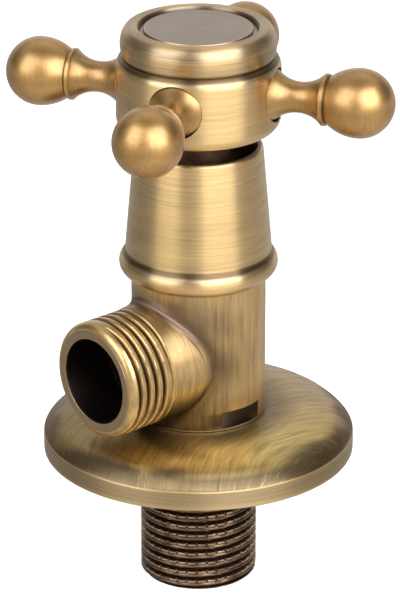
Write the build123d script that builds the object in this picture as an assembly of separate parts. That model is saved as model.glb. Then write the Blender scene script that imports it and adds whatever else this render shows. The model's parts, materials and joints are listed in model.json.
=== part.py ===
from build123d import *

import os
from math import cos, radians, sin

# Angle valve with a cross handle, a wall flange and a quarter-turn ceramic headwork.
# Millimetres. +Z runs up the spindle, the outlet points along -Y, and Z = 0 is the wall
# plane, where the flange's back rim sits and the inlet shank goes into the wall.

# Pipe threads, G 1/2, modelled at their major diameter
THREAD_R = 10.35
THREAD_END_R = 9.75
THREAD_END_CHAMFER = 0.6

# Inlet shank
INLET_END_Z = -24.2
INLET_THREAD_TOP_Z = 0.5
INLET_BORE_R = 6.5
INLET_BORE_TOP_Z = 5.0
SHANK_R = 10.1

# Barrel and its neck for the headwork
BARREL_R = 11.8
BARREL_BOTTOM_Z = 7.65
BARREL_TOP_Z = 33.6
NECK_R = 10.9
NECK_TOP_Z = 40.0
SEAT_Z = 11.5
SEAT_HOLE_R = 5.5
CHAMBER_R = 8.3
CHAMBER_TOP_Z = 28.0
HEADWORK_THREAD_R = 9.0

# Outlet branch
OUTLET_Z = 19.3
OUTLET_FACE_Y = 24.2
OUTLET_THREAD_START_Y = 14.5
OUTLET_NECK_R = 10.55
OUTLET_BORE_R = 7.2
OUTLET_MOUTH_CHAMFER = 0.6
BRANCH_FILLET = 2.2

# Wrench flats at the foot of the barrel
FLAT_HALF_WIDTH = 11.0
FLAT_TOP_Z = 11.05

# Wall flange
FLANGE_R = 27.55
FLANGE_TOP_Z = 7.55
FLANGE_WALL = 1.0
FLANGE_HOLE_R = 10.6
FLANGE_RIM_Z = 3.1
GRIP_SOCKET_R = 11.9
GRIP_SOCKET_WALL = 0.9
GRIP_SOCKET_DEPTH = 2.1
GRIP_RING_SECTION_R = 0.75
GRIP_RING_INNER_R = 10.4

# Bonnet cover
BEAD_FOOT_R = 12.3
BEAD_R = 13.9
BEAD_TOP_R = 13.1
BEAD_TOP_Z = 37.4
SKIRT_FOOT_R = 12.78
SKIRT_FOOT_Z = 38.9
SKIRT_TOP_R = 11.25
SKIRT_TOP_Z = 57.15
SKIRT_MOUTH_R = 10.3
SKIRT_INSIDE_R = 11.3

# Headwork housing
HOUSING_TUBE_R = 7.4
HOUSING_BORE_R = 6.6
HOUSING_BOTTOM_Z = 12.3
HOUSING_SHOULDER_Z = 29.5
GASKET_THICKNESS = 1.0
GASKET_R = 10.5
HEX_ACROSS_FLATS = 18.0
HEX_TOP_Z = 46.5
STEM_TUBE_R = 5.5
STEM_TUBE_TOP_Z = 58.6
STEM_BORE_R = 4.0
WINDOW_WIDTH = 8.0
WINDOW_BOTTOM_Z = 19.6
WINDOW_TOP_Z = 25.4

# Ceramic discs
DISC_R = 6.5
DISC_THICKNESS = 3.0
DISC_BOTTOM_Z = 13.0
DISC_GAP = 0.02
OPENING_INNER_R = 2.2
OPENING_OUTER_R = 5.2
OPENING_ANGLE = 80.0
KEY_WIDTH = 2.0
KEY_HEIGHT = 2.0

# Spindle
SPINDLE_R = 3.95
SPINDLE_TOP_Z = 70.6
TONGUE_WIDTH = 3.0
TONGUE_DEPTH = 1.2
DRIVER_R = 2.8
COLLAR_R = 5.5
COLLAR_BOTTOM_Z = 26.4
THRUST_WASHER_THICKNESS = 0.6
THRUST_GAP = 0.04
SPLINE_TEETH = 20
SPLINE_TIP_R = 3.9
SPLINE_ROOT_R = 3.5
SPLINE_START_Z = 61.4
SPLINE_GAP = 0.03
SCREW_R = 2.0
SCREW_HOLE_BOTTOM_Z = 60.0

# Quarter-turn stop: two ribs in the housing and two lugs on the spindle's collar
TURN_ANGLE = 90.0
STOP_SLACK = 1.0
RIB_ANGLE = 60.0
LUG_ANGLE = 180.0 - RIB_ANGLE - TURN_ANGLE - 2 * STOP_SLACK
LUG_R = 6.5
RIB_BOTTOM_Z = 26.0

# O-rings on the spindle
O_RING_GROOVE_R = 2.8
O_RING_SECTION_R = 0.58
O_RING_GROOVE_WIDTH = 1.5
O_RING_Z = (34.0, 38.0)

# Retaining clip
CLIP_GROOVE_R = 3.3
CLIP_R = 5.1
CLIP_THICKNESS = 0.75
CLIP_Z = 58.75
CLIP_OPENING_ANGLE = 70.0

# Handle hub
HUB_BOTTOM_Z = 60.4
HUB_FOOT_R = 12.05
HUB_FOOT_FILLET = 2.2
HUB_R = 14.25
HUB_SHOULDER_Z = 71.5
HUB_TOP_R = 13.2
HUB_TOP_Z = 73.5
HUB_SPIGOT_R = 10.9
HUB_SPIGOT_TOP_Z = 75.9
HUB_POCKET_R = 7.5
HUB_POCKET_Z = 71.0

# Handle arms
ARM_COUNT = 4
ARM_Z = 67.6
ARM_FIRST_ANGLE = 31.4
ARM_SEAT_X = 12.6
ARM_SEAT_R = 4.8
ARM_BASE_R = 4.55
ARM_BASE_BAND = 0.5
ARM_STUD_R = 2.5
ARM_STUD_X = 8.4
ARM_NECK_R = 2.7
ARM_NECK_X = 17.6
ARM_COLLAR_R = 4.5
ARM_COLLAR_X = 22.0
ARM_COLLAR_STEP = 0.2
ARM_GROOVE_X = 23.15
ARM_GROOVE_R = 4.0
ARM_GROOVE_HALF = 0.22
BALL_R = 6.03
BALL_X = 28.7
BALL_INNER_ARC_R = 8.7

# Cap ring, index disc and the screw below them
CAP_FOOT_R = 13.18
CAP_R = 13.5
CAP_WIDEST_Z = 75.8
CAP_TOP_Z = 78.64
CAP_CROWN_R = 12.0
CAP_MOUTH_R = 10.4
CAP_MOUTH_DEPTH = 0.9
CAP_BORE_R = 9.6
CAP_LEDGE_R = 8.6
CAP_LEDGE_Z = 76.9
INDEX_R = 9.3
INDEX_TOP_Z = 78.4
INDEX_STEM_R = 7.2
INDEX_STEM_BORE_R = 5.6
INDEX_STEM_BOTTOM_Z = 72.9
INDEX_RING_Z = 74.4
INDEX_RING_SECTION_R = 0.6
SCREW_LENGTH = 8.0
SCREW_HEAD_R = 4.2
SCREW_HEAD_HEIGHT = 2.6
SCREW_WASHER_THICKNESS = 0.8

GASKET_TOP_Z = NECK_TOP_Z + GASKET_THICKNESS


def turned(*edges):
    """Revolve a closed outline of (radius, height) edges about the Z axis."""
    return revolve(Plane.XZ * make_face(Curve() + list(edges)), Axis.Z)


def rod(radius, bottom, top):
    """Return a solid cylinder on the Z axis between two heights."""
    base = (Align.CENTER, Align.CENTER, Align.MIN)
    return Pos(0, 0, bottom) * Cylinder(radius, top - bottom, align=base)


def tube(outer, inner, bottom, top):
    """Return a plain tube on the Z axis between two heights."""
    return rod(outer, bottom, top) - rod(inner, bottom, top)


def cone(bottom_radius, top_radius, bottom, top):
    """Return a solid cone frustum on the Z axis."""
    base = (Align.CENTER, Align.CENTER, Align.MIN)
    return Pos(0, 0, bottom) * Cone(bottom_radius, top_radius, top - bottom, align=base)


def block(width, depth, bottom, top):
    """Return a box centred on the Z axis between two heights."""
    base = (Align.CENTER, Align.CENTER, Align.MIN)
    return Pos(0, 0, bottom) * Box(width, depth, top - bottom, align=base)


def sector(inner, outer, angle, bottom, top):
    """Return a ring segment centred on the X axis."""
    half = radians(angle / 2)
    inner_start = (inner * cos(half), -inner * sin(half))
    inner_end = (inner * cos(half), inner * sin(half))
    outer_start = (outer * cos(half), -outer * sin(half))
    outer_end = (outer * cos(half), outer * sin(half))
    outline = [
        Line(inner_start, outer_start),
        ThreePointArc(outer_start, (outer, 0), outer_end),
        Line(outer_end, inner_end),
        ThreePointArc(inner_end, (inner, 0), inner_start),
    ]
    face = make_face(Curve() + outline)
    return Pos(0, 0, bottom) * extrude(face, top - bottom)


def o_ring(centre_radius, section_radius, height):
    """Return a ring of round section lying flat at a height."""
    return Pos(0, 0, height) * Torus(centre_radius, section_radius)


def along_outlet(shape):
    """Turn a shape made along +Z so that it runs along the outlet's axis."""
    return Pos(0, 0, OUTLET_Z) * Rot(90, 0, 0) * shape


def valve_body():
    """Return the brass body: shank, barrel, outlet branch and the neck for the headwork."""
    chamfer_z = INLET_END_Z + THREAD_END_CHAMFER
    shank = cone(THREAD_END_R, THREAD_R, INLET_END_Z, chamfer_z)
    shank += rod(THREAD_R, chamfer_z, INLET_THREAD_TOP_Z)
    shank += rod(SHANK_R, INLET_THREAD_TOP_Z, BARREL_BOTTOM_Z)
    # The branch is blended before the foot of the barrel is faced off
    blank_foot_z = BARREL_BOTTOM_Z - 2 * BRANCH_FILLET
    barrel = rod(BARREL_R, blank_foot_z, BARREL_TOP_Z)
    branch = along_outlet(rod(OUTLET_NECK_R, 0, OUTLET_THREAD_START_Y))
    casting = barrel + branch
    seam = [edge for edge in casting.edges() if is_branch_seam(edge)]
    casting = fillet(seam, BRANCH_FILLET)
    faced_off = BARREL_R + OUTLET_FACE_Y
    casting -= rod(faced_off, blank_foot_z - 1, BARREL_BOTTOM_Z)
    body = casting + shank + rod(NECK_R, BARREL_TOP_Z, NECK_TOP_Z)
    chamfer_y = OUTLET_FACE_Y - THREAD_END_CHAMFER
    body += along_outlet(rod(THREAD_R, OUTLET_THREAD_START_Y, chamfer_y))
    body += along_outlet(cone(THREAD_R, THREAD_END_R, chamfer_y, OUTLET_FACE_Y))
    # Waterway, from the inlet through the seat and the chamber to the outlet
    body -= rod(INLET_BORE_R, INLET_END_Z, INLET_BORE_TOP_Z)
    body -= rod(SEAT_HOLE_R, INLET_BORE_TOP_Z, SEAT_Z)
    body -= rod(CHAMBER_R, SEAT_Z, CHAMBER_TOP_Z)
    body -= rod(HEADWORK_THREAD_R, CHAMBER_TOP_Z, NECK_TOP_Z)
    body -= along_outlet(rod(OUTLET_BORE_R, 0, OUTLET_FACE_Y))
    mouth_y = OUTLET_FACE_Y - OUTLET_MOUTH_CHAMFER
    mouth_r = OUTLET_BORE_R + OUTLET_MOUTH_CHAMFER
    body -= along_outlet(cone(OUTLET_BORE_R, mouth_r, mouth_y, OUTLET_FACE_Y))
    flat_depth = BARREL_R
    flat_x = FLAT_HALF_WIDTH + flat_depth / 2
    cutter = block(flat_depth, 2 * BARREL_R, BARREL_BOTTOM_Z, FLAT_TOP_Z)
    for side in (1, -1):
        body -= Pos(side * flat_x, 0, 0) * cutter
    return body


def is_branch_seam(edge):
    """Tell whether an edge of the casting is the seam between barrel and branch."""
    box = edge.bounding_box()
    at_branch_end = box.min.Y < -OUTLET_THREAD_START_Y + 0.1
    on_seam_heights = box.min.Z > OUTLET_Z - BARREL_R and box.max.Z < OUTLET_Z + BARREL_R
    has_width = box.size.X > 1
    return on_seam_heights and has_width and not at_branch_end


def flange_dome(drop):
    """Return the flange's wall line as edges, moved in by a depth, from hole to rim."""
    top_z = FLANGE_TOP_Z - drop
    flat_end = (16.0, top_z)
    shoulder = (24.0 - 0.41 * drop, 6.46 - 0.91 * drop)
    corner = (27.0 - 0.75 * drop, 4.2 - 0.66 * drop)
    rim_top = (FLANGE_R - drop, FLANGE_RIM_Z)
    rim_foot = (FLANGE_R - drop, 0)
    crown = Spline(flat_end, shoulder, corner, tangents=((1, 0), (0.66, -0.75)))
    rounded = Spline(corner, rim_top, tangents=((0.66, -0.75), (0, -1)))
    flat = Line((FLANGE_HOLE_R, top_z), flat_end)
    return [flat, crown, rounded, Line(rim_top, rim_foot)]


def escutcheon():
    """Return the pressed wall flange, with the socket for its grip ring."""
    outside = flange_dome(0)
    inside = flange_dome(FLANGE_WALL)
    inner_top_z = FLANGE_TOP_Z - FLANGE_WALL
    foot = Line((FLANGE_R, 0), (FLANGE_R - FLANGE_WALL, 0))
    hole = Line((FLANGE_HOLE_R, inner_top_z), (FLANGE_HOLE_R, FLANGE_TOP_Z))
    shell = turned(*outside, foot, *inside, hole)
    socket_bottom = inner_top_z - GRIP_SOCKET_DEPTH
    outer = GRIP_SOCKET_R + GRIP_SOCKET_WALL
    return shell + tube(outer, GRIP_SOCKET_R, socket_bottom, inner_top_z + FLANGE_WALL / 2)


def escutcheon_grip_ring():
    """Return the rubber ring under the flange that grips the shank."""
    centre = GRIP_RING_INNER_R + GRIP_RING_SECTION_R
    height = FLANGE_TOP_Z - FLANGE_WALL - GRIP_RING_SECTION_R
    return o_ring(centre, GRIP_RING_SECTION_R, height)


def bonnet_cover():
    """Return the turned skirt with the bead at its foot."""
    bead_middle_z = (BARREL_TOP_Z + BEAD_TOP_Z) / 2
    foot = (BEAD_FOOT_R, BARREL_TOP_Z)
    bead_top = (BEAD_TOP_R, BEAD_TOP_Z)
    flare_middle = (BEAD_TOP_R - 0.24, BEAD_TOP_Z + 0.55)
    skirt_foot = (SKIRT_FOOT_R, SKIRT_FOOT_Z)
    lip_outer = (SKIRT_TOP_R, SKIRT_TOP_Z - 0.35)
    lip_top = (SKIRT_TOP_R - 0.35, SKIRT_TOP_Z)
    mouth = (SKIRT_MOUTH_R, SKIRT_TOP_Z)
    inside_foot = (SKIRT_INSIDE_R, NECK_TOP_Z + 0.5)
    thread_top = (NECK_R, NECK_TOP_Z)
    thread_foot = (NECK_R, BARREL_TOP_Z)
    return turned(
        ThreePointArc(foot, (BEAD_R, bead_middle_z), bead_top),
        ThreePointArc(bead_top, flare_middle, skirt_foot),
        Polyline(skirt_foot, lip_outer, lip_top, mouth, inside_foot, thread_top, thread_foot, foot),
    )


def cartridge_housing():
    """Return the brass housing of the headwork, with windows, hexagon and stem tube."""
    housing = rod(HOUSING_TUBE_R, HOUSING_BOTTOM_Z, CHAMBER_TOP_Z)
    housing += rod(HEADWORK_THREAD_R, CHAMBER_TOP_Z, GASKET_TOP_Z)
    hexagon = RegularPolygon(HEX_ACROSS_FLATS / 2, 6, major_radius=False)
    nut = Pos(0, 0, GASKET_TOP_Z) * extrude(hexagon, HEX_TOP_Z - GASKET_TOP_Z)
    hex_corner_r = HEX_ACROSS_FLATS / 2 / cos(radians(30))
    housing += nut & cone(hex_corner_r + 3, hex_corner_r - 1, GASKET_TOP_Z, HEX_TOP_Z)
    housing += rod(STEM_TUBE_R, HEX_TOP_Z, STEM_TUBE_TOP_Z)
    housing -= rod(HOUSING_BORE_R, HOUSING_BOTTOM_Z, HOUSING_SHOULDER_Z)
    housing -= rod(STEM_BORE_R, HOUSING_SHOULDER_Z, STEM_TUBE_TOP_Z)
    housing -= block(WINDOW_WIDTH, 2 * CHAMBER_R, WINDOW_BOTTOM_Z, WINDOW_TOP_Z)
    key_slot = block(2 * CHAMBER_R, KEY_WIDTH + 0.1, HOUSING_BOTTOM_Z, DISC_BOTTOM_Z + KEY_HEIGHT)
    housing -= key_slot
    rib_top = HOUSING_SHOULDER_Z - THRUST_WASHER_THICKNESS
    rib = sector(COLLAR_R + 0.1, HOUSING_BORE_R + 0.3, RIB_ANGLE, RIB_BOTTOM_Z, rib_top)
    for angle in (0, 180):
        housing += Rot(0, 0, angle) * rib
    return housing


def cartridge_gasket():
    """Return the flat ring under the headwork's hexagon."""
    return tube(GASKET_R, HEADWORK_THREAD_R, NECK_TOP_Z, GASKET_TOP_Z)


def seat_seal():
    """Return the rubber seal between the seat in the body and the fixed disc."""
    seal = rod(HOUSING_TUBE_R, SEAT_Z, HOUSING_BOTTOM_Z)
    seal += rod(HOUSING_BORE_R, HOUSING_BOTTOM_Z, DISC_BOTTOM_Z)
    return seal - rod(SEAT_HOLE_R, SEAT_Z, DISC_BOTTOM_Z)


def pierced_disc(bottom):
    """Return a ceramic disc with two opposite openings on the X axis."""
    disc = rod(DISC_R, bottom, bottom + DISC_THICKNESS)
    opening = sector(OPENING_INNER_R, OPENING_OUTER_R, OPENING_ANGLE, bottom, bottom + DISC_THICKNESS)
    for angle in (0, 180):
        disc -= Rot(0, 0, angle) * opening
    return disc


def fixed_disc():
    """Return the lower disc, keyed in the housing, with its openings on the Y axis."""
    disc = Rot(0, 0, 90) * pierced_disc(DISC_BOTTOM_Z)
    key = block(2 * HOUSING_TUBE_R, KEY_WIDTH, DISC_BOTTOM_Z, DISC_BOTTOM_Z + KEY_HEIGHT)
    keys = key & tube(HOUSING_TUBE_R, DISC_R - 0.2, DISC_BOTTOM_Z, DISC_BOTTOM_Z + KEY_HEIGHT)
    return disc + keys


def moving_disc_bottom():
    """Return the height of the face on which the discs slide."""
    return DISC_BOTTOM_Z + DISC_THICKNESS + DISC_GAP


def moving_disc():
    """Return the upper disc, closed at rest, slotted for the spindle's tongue."""
    bottom = moving_disc_bottom()
    top = bottom + DISC_THICKNESS
    slot = block(TONGUE_WIDTH, 2 * DISC_R, top - TONGUE_DEPTH, top)
    return pierced_disc(bottom) - slot


def spindle():
    """Return the spindle: tongue, driver, stop collar, shaft and splined end."""
    disc_top = moving_disc_bottom() + DISC_THICKNESS
    tongue_top = disc_top + 1.5
    collar_top = HOUSING_SHOULDER_Z - THRUST_WASHER_THICKNESS - THRUST_GAP
    tongue = block(TONGUE_WIDTH, 2 * DISC_R, disc_top - TONGUE_DEPTH, tongue_top)
    body = tongue & rod(DISC_R - 0.1, SEAT_Z, tongue_top)
    body += rod(DRIVER_R, tongue_top, COLLAR_BOTTOM_Z)
    body += rod(COLLAR_R, COLLAR_BOTTOM_Z, collar_top)
    lug = sector(COLLAR_R - 0.5, LUG_R, LUG_ANGLE, COLLAR_BOTTOM_Z, collar_top - 0.1)
    rest_angle = RIB_ANGLE / 2 + STOP_SLACK + LUG_ANGLE / 2
    for angle in (rest_angle, rest_angle + 180):
        body += Rot(0, 0, angle) * lug
    body += rod(SPINDLE_R, collar_top, SPLINE_START_Z)
    body += splined(SPLINE_TIP_R, SPLINE_ROOT_R, SPLINE_START_Z, SPINDLE_TOP_Z)
    for height in O_RING_Z:
        half = O_RING_GROOVE_WIDTH / 2
        body -= tube(SPINDLE_R + 1, O_RING_GROOVE_R, height - half, height + half)
    body -= tube(SPINDLE_R + 1, CLIP_GROOVE_R, CLIP_Z, CLIP_Z + CLIP_THICKNESS)
    return body - rod(SCREW_R, SCREW_HOLE_BOTTOM_Z, SPINDLE_TOP_Z)


def splined(tip, root, bottom, top):
    """Return a splined rod with straight-sided teeth that narrow to their tips."""
    shape = rod(root, bottom, top)
    half_tip = tip * sin(radians(90 / SPLINE_TEETH)) * 0.7
    half_root = root * sin(radians(90 / SPLINE_TEETH)) * 1.3
    outline = Polyline(
        (root - 0.3, -half_root), (tip, -half_tip), (tip, half_tip), (root - 0.3, half_root), close=True
    )
    tooth = Pos(0, 0, bottom) * extrude(make_face(outline), top - bottom)
    teeth = [Rot(0, 0, 360 * index / SPLINE_TEETH) * tooth for index in range(SPLINE_TEETH)]
    return shape + teeth


def spindle_o_rings():
    """Return the two O-rings in the spindle's grooves."""
    centre = O_RING_GROOVE_R + O_RING_SECTION_R
    rings = [o_ring(centre, O_RING_SECTION_R, height) for height in O_RING_Z]
    return Compound(children=rings)


def thrust_washer():
    """Return the slip ring between the spindle's collar and the housing."""
    bottom = HOUSING_SHOULDER_Z - THRUST_WASHER_THICKNESS
    return tube(COLLAR_R, STEM_BORE_R + 0.1, bottom, HOUSING_SHOULDER_Z)


def retaining_clip():
    """Return the open ring that keeps the spindle from dropping into the housing."""
    ring = tube(CLIP_R, CLIP_GROOVE_R, CLIP_Z, CLIP_Z + CLIP_THICKNESS)
    gap = sector(CLIP_GROOVE_R / 2, CLIP_R + 1, CLIP_OPENING_ANGLE, CLIP_Z, CLIP_Z + CLIP_THICKNESS)
    return ring - gap


def handle_hub():
    """Return the hub, with its spline, screw pocket and four seats for the arms."""
    foot = (HUB_FOOT_R, HUB_BOTTOM_Z)
    foot_top = (HUB_R, HUB_BOTTOM_Z + HUB_FOOT_FILLET)
    shoulder = (HUB_R, HUB_SHOULDER_Z)
    shoulder_top = (HUB_TOP_R, HUB_TOP_Z)
    spigot_foot = (HUB_SPIGOT_R, HUB_TOP_Z)
    spigot_top = (HUB_SPIGOT_R, HUB_SPIGOT_TOP_Z)
    hub = turned(
        TangentArc(foot, foot_top, tangent=(1, 0)),
        Line(foot_top, shoulder),
        TangentArc(shoulder, shoulder_top, tangent=(0, 1)),
        Polyline(shoulder_top, spigot_foot, spigot_top, (0, HUB_SPIGOT_TOP_Z), (0, HUB_BOTTOM_Z), foot),
    )
    hub -= rod(HUB_POCKET_R, HUB_POCKET_Z, HUB_SPIGOT_TOP_Z)
    hub -= rod(STEM_BORE_R, HUB_BOTTOM_Z, SPLINE_START_Z)
    hub -= splined(SPLINE_TIP_R + SPLINE_GAP, SPLINE_ROOT_R + SPLINE_GAP, SPLINE_START_Z, HUB_POCKET_Z)
    seat = rod(ARM_SEAT_R, ARM_SEAT_X, HUB_R + 1) + rod(ARM_STUD_R, ARM_STUD_X, ARM_SEAT_X)
    for index in range(ARM_COUNT):
        hub -= on_hub(seat, index)
    return hub


def on_hub(shape, index):
    """Turn a shape made along +Z so that it points out of the hub at an arm's place."""
    angle = ARM_FIRST_ANGLE + 360 / ARM_COUNT * index
    return Pos(0, 0, ARM_Z) * Rot(0, 0, angle) * Rot(0, 90, 0) * shape


def handle_arm(index):
    """Return one turned arm: stud, coved neck, collar and ball."""
    stud_end = (ARM_STUD_R, ARM_STUD_X)
    stud_root = (ARM_STUD_R, ARM_SEAT_X)
    base_edge = (ARM_BASE_R, ARM_SEAT_X)
    base_top = (ARM_BASE_R, ARM_SEAT_X + ARM_BASE_BAND)
    neck = (ARM_NECK_R, ARM_NECK_X)
    cove_end = (ARM_COLLAR_R - ARM_COLLAR_STEP, ARM_COLLAR_X)
    collar_start = (ARM_COLLAR_R, ARM_COLLAR_X + ARM_COLLAR_STEP / 2)
    collar_end = (ARM_COLLAR_R, ARM_GROOVE_X - ARM_GROOVE_HALF)
    groove = (ARM_GROOVE_R, ARM_GROOVE_X)
    ball_start = ball_inner_point(ARM_GROOVE_X + ARM_GROOVE_HALF)
    ball_middle = ball_inner_point((ARM_GROOVE_X + BALL_X) / 2)
    ball_widest = (BALL_R, BALL_X)
    ball_tip = (0, BALL_X + BALL_R)
    arm = turned(
        Polyline((0, ARM_STUD_X), stud_end, stud_root, base_edge, base_top),
        ThreePointArc(base_top, neck, cove_end),
        Polyline(cove_end, collar_start, collar_end, groove, ball_start),
        ThreePointArc(ball_start, ball_middle, ball_widest),
        TangentArc(ball_widest, ball_tip, tangent=(0, 1)),
        Line(ball_tip, (0, ARM_STUD_X)),
    )
    return on_hub(arm, index)


def ball_inner_point(distance):
    """Return a point on the ball's longer, egg-shaped side at a distance from the hub's axis."""
    rise = (BALL_INNER_ARC_R**2 - (BALL_X - distance) ** 2) ** 0.5
    return (BALL_R - BALL_INNER_ARC_R + rise, distance)


def cap_ring():
    """Return the turned ring that screws on to the hub and frames the index disc."""
    foot = (CAP_FOOT_R, HUB_TOP_Z)
    widest = (CAP_R, CAP_WIDEST_Z)
    crown = (CAP_CROWN_R, CAP_TOP_Z)
    belly = (CAP_FOOT_R + 0.75 * (CAP_R - CAP_FOOT_R), (HUB_TOP_Z + CAP_WIDEST_Z) / 2)
    crown_width = CAP_R - CAP_CROWN_R
    crown_height = CAP_TOP_Z - CAP_WIDEST_Z
    diagonal = sin(radians(45))
    round_middle = (CAP_CROWN_R + diagonal * crown_width, CAP_WIDEST_Z + diagonal * crown_height)
    mouth = (CAP_MOUTH_R, CAP_TOP_Z)
    bore_top = (CAP_BORE_R, CAP_TOP_Z - CAP_MOUTH_DEPTH)
    ledge_edge = (CAP_BORE_R, CAP_LEDGE_Z)
    ledge_lip = (CAP_LEDGE_R, CAP_LEDGE_Z)
    ledge_foot = (CAP_LEDGE_R, HUB_SPIGOT_TOP_Z)
    thread_top = (HUB_SPIGOT_R, HUB_SPIGOT_TOP_Z)
    thread_foot = (HUB_SPIGOT_R, HUB_TOP_Z)
    return turned(
        ThreePointArc(foot, belly, widest),
        Spline(widest, round_middle, crown, tangents=((0, 1), (-1, 0))),
        Polyline(crown, mouth, bore_top, ledge_edge, ledge_lip, ledge_foot, thread_top, thread_foot, foot),
    )


def index_disc():
    """Return the plain disc, with the stem that plugs into the hub."""
    plate = rod(INDEX_R, CAP_LEDGE_Z, INDEX_TOP_Z)
    plate = chamfer(plate.edges().sort_by(Axis.Z)[-1], 0.3)
    stem = tube(INDEX_STEM_R, INDEX_STEM_BORE_R, INDEX_STEM_BOTTOM_Z, CAP_LEDGE_Z)
    ring_groove_r = HUB_POCKET_R - 2 * INDEX_RING_SECTION_R
    half = INDEX_RING_SECTION_R + 0.1
    stem -= tube(INDEX_STEM_R + 1, ring_groove_r, INDEX_RING_Z - half, INDEX_RING_Z + half)
    return plate + stem


def index_o_ring():
    """Return the ring that grips the index disc's stem in the hub."""
    return o_ring(HUB_POCKET_R - INDEX_RING_SECTION_R, INDEX_RING_SECTION_R, INDEX_RING_Z)


def screw_washer():
    """Return the spring washer under the handle screw, split on one side."""
    top = HUB_POCKET_Z + SCREW_WASHER_THICKNESS
    ring = tube(SCREW_HEAD_R, SPLINE_ROOT_R - 1.2, HUB_POCKET_Z, top)
    return ring - Pos(SCREW_HEAD_R, 0, 0) * block(2 * SCREW_HEAD_R, 0.5, HUB_POCKET_Z, top)


def handle_screw():
    """Return the hexagon-socket screw that holds the handle on the spindle."""
    head_bottom = HUB_POCKET_Z + SCREW_WASHER_THICKNESS
    head_top = head_bottom + SCREW_HEAD_HEIGHT
    screw = rod(SCREW_HEAD_R, head_bottom, head_top)
    screw = chamfer(screw.edges().sort_by(Axis.Z)[-1], 0.4)
    screw += rod(SCREW_R, head_bottom - SCREW_LENGTH, head_bottom)
    socket = extrude(RegularPolygon(1.5, 6, major_radius=False), SCREW_HEAD_HEIGHT)
    return screw - Pos(0, 0, head_top - 1.6) * socket


def parts():
    """Return every node of the valve by name."""
    nodes = {
        "valve_body": valve_body(),
        "escutcheon": escutcheon(),
        "escutcheon_grip_ring": escutcheon_grip_ring(),
        "bonnet_cover": bonnet_cover(),
        "cartridge_housing": cartridge_housing(),
        "cartridge_gasket": cartridge_gasket(),
        "seat_seal": seat_seal(),
        "fixed_disc": fixed_disc(),
        "moving_disc": moving_disc(),
        "spindle": spindle(),
        "spindle_o_rings": spindle_o_rings(),
        "thrust_washer": thrust_washer(),
        "retaining_clip": retaining_clip(),
        "handle_hub": handle_hub(),
        "cap_ring": cap_ring(),
        "index_disc": index_disc(),
        "index_o_ring": index_o_ring(),
        "screw_washer": screw_washer(),
        "handle_screw": handle_screw(),
    }
    for index in range(ARM_COUNT):
        nodes[f"handle_arm_{index + 1}"] = handle_arm(index)
    return nodes


os.makedirs("parts", exist_ok=True)
for name, shape in parts().items():
    export_step(shape, f"parts/{name}.step")
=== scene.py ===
import json
from math import acos, asin, atan2, cos, pi, radians, sin, sqrt, tan

import bmesh
import bpy
import numpy as np
from mathutils import Matrix, Vector


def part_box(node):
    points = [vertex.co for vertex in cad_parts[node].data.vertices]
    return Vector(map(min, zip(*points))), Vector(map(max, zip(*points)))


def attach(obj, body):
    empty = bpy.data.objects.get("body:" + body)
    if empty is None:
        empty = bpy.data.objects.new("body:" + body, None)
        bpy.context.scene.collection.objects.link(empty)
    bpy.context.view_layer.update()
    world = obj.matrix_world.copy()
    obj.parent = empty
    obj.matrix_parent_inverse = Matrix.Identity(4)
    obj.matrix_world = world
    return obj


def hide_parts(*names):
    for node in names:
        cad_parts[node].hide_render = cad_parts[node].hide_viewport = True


# Angle valve with a cross handle. Outlines are in millimetres, meshes in metres.
# +Z runs up the spindle, the outlet points along -Y and the wall plane is Z = 0.

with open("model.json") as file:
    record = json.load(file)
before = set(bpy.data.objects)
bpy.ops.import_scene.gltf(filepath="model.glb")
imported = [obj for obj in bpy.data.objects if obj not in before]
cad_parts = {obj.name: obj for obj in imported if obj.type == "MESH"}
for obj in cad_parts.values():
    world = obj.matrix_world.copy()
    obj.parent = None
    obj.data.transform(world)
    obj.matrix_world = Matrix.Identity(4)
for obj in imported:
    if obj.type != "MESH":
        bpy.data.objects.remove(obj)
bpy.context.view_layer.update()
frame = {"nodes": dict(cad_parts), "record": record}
nodes = frame["nodes"]
mounts = {mount["name"]: mount for mount in frame["record"]["mounts"]}

MM = 0.001


def corner(node, low_or_high):
    """Return one corner of a CAD node's box in millimetres."""
    return [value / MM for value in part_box(node)[low_or_high]]


LOW, HIGH = 0, 1

# Main sizes, read from the frame
THREAD_R = mounts["inlet_thread"]["dims"]["r_mm"]
INLET_END_Z = corner("valve_body", LOW)[2]
OUTLET_FACE_Y = corner("valve_body", LOW)[1]
OUTLET_Z = mounts["outlet_thread"]["pos_m"][2] / MM
BARREL_R = corner("valve_body", HIGH)[1]
NECK_TOP_Z = corner("valve_body", HIGH)[2]
FLANGE_R = corner("escutcheon", HIGH)[0]
FLANGE_TOP_Z = corner("escutcheon", HIGH)[2]
BARREL_TOP_Z, SKIRT_TOP_Z = corner("bonnet_cover", LOW)[2], corner("bonnet_cover", HIGH)[2]
BEAD_R = corner("bonnet_cover", HIGH)[1] - 0.01
HUB_BOTTOM_Z, SPIGOT_TOP_Z = corner("handle_hub", LOW)[2], corner("handle_hub", HIGH)[2]
HUB_R = corner("handle_hub", HIGH)[0]
CAP_FOOT_Z, CAP_TOP_Z = corner("cap_ring", LOW)[2], corner("cap_ring", HIGH)[2]
CAP_R = corner("cap_ring", HIGH)[0]
INDEX_R, INDEX_TOP_Z = corner("index_disc", HIGH)[0], corner("index_disc", HIGH)[2]
INDEX_FOOT_Z = corner("index_disc", LOW)[2]
ARM_Z = (corner("handle_arm_1", LOW)[2] + corner("handle_arm_1", HIGH)[2]) / 2
BALL_R = (corner("handle_arm_1", HIGH)[2] - corner("handle_arm_1", LOW)[2]) / 2

# Pipe thread, 14 to the inch
PITCH = 25.4 / 14
THREAD_DEPTH = 0.6403 * PITCH
VEE_DEPTH = 0.9605 * PITCH
THREAD_END_CHAMFER = 0.6

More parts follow.
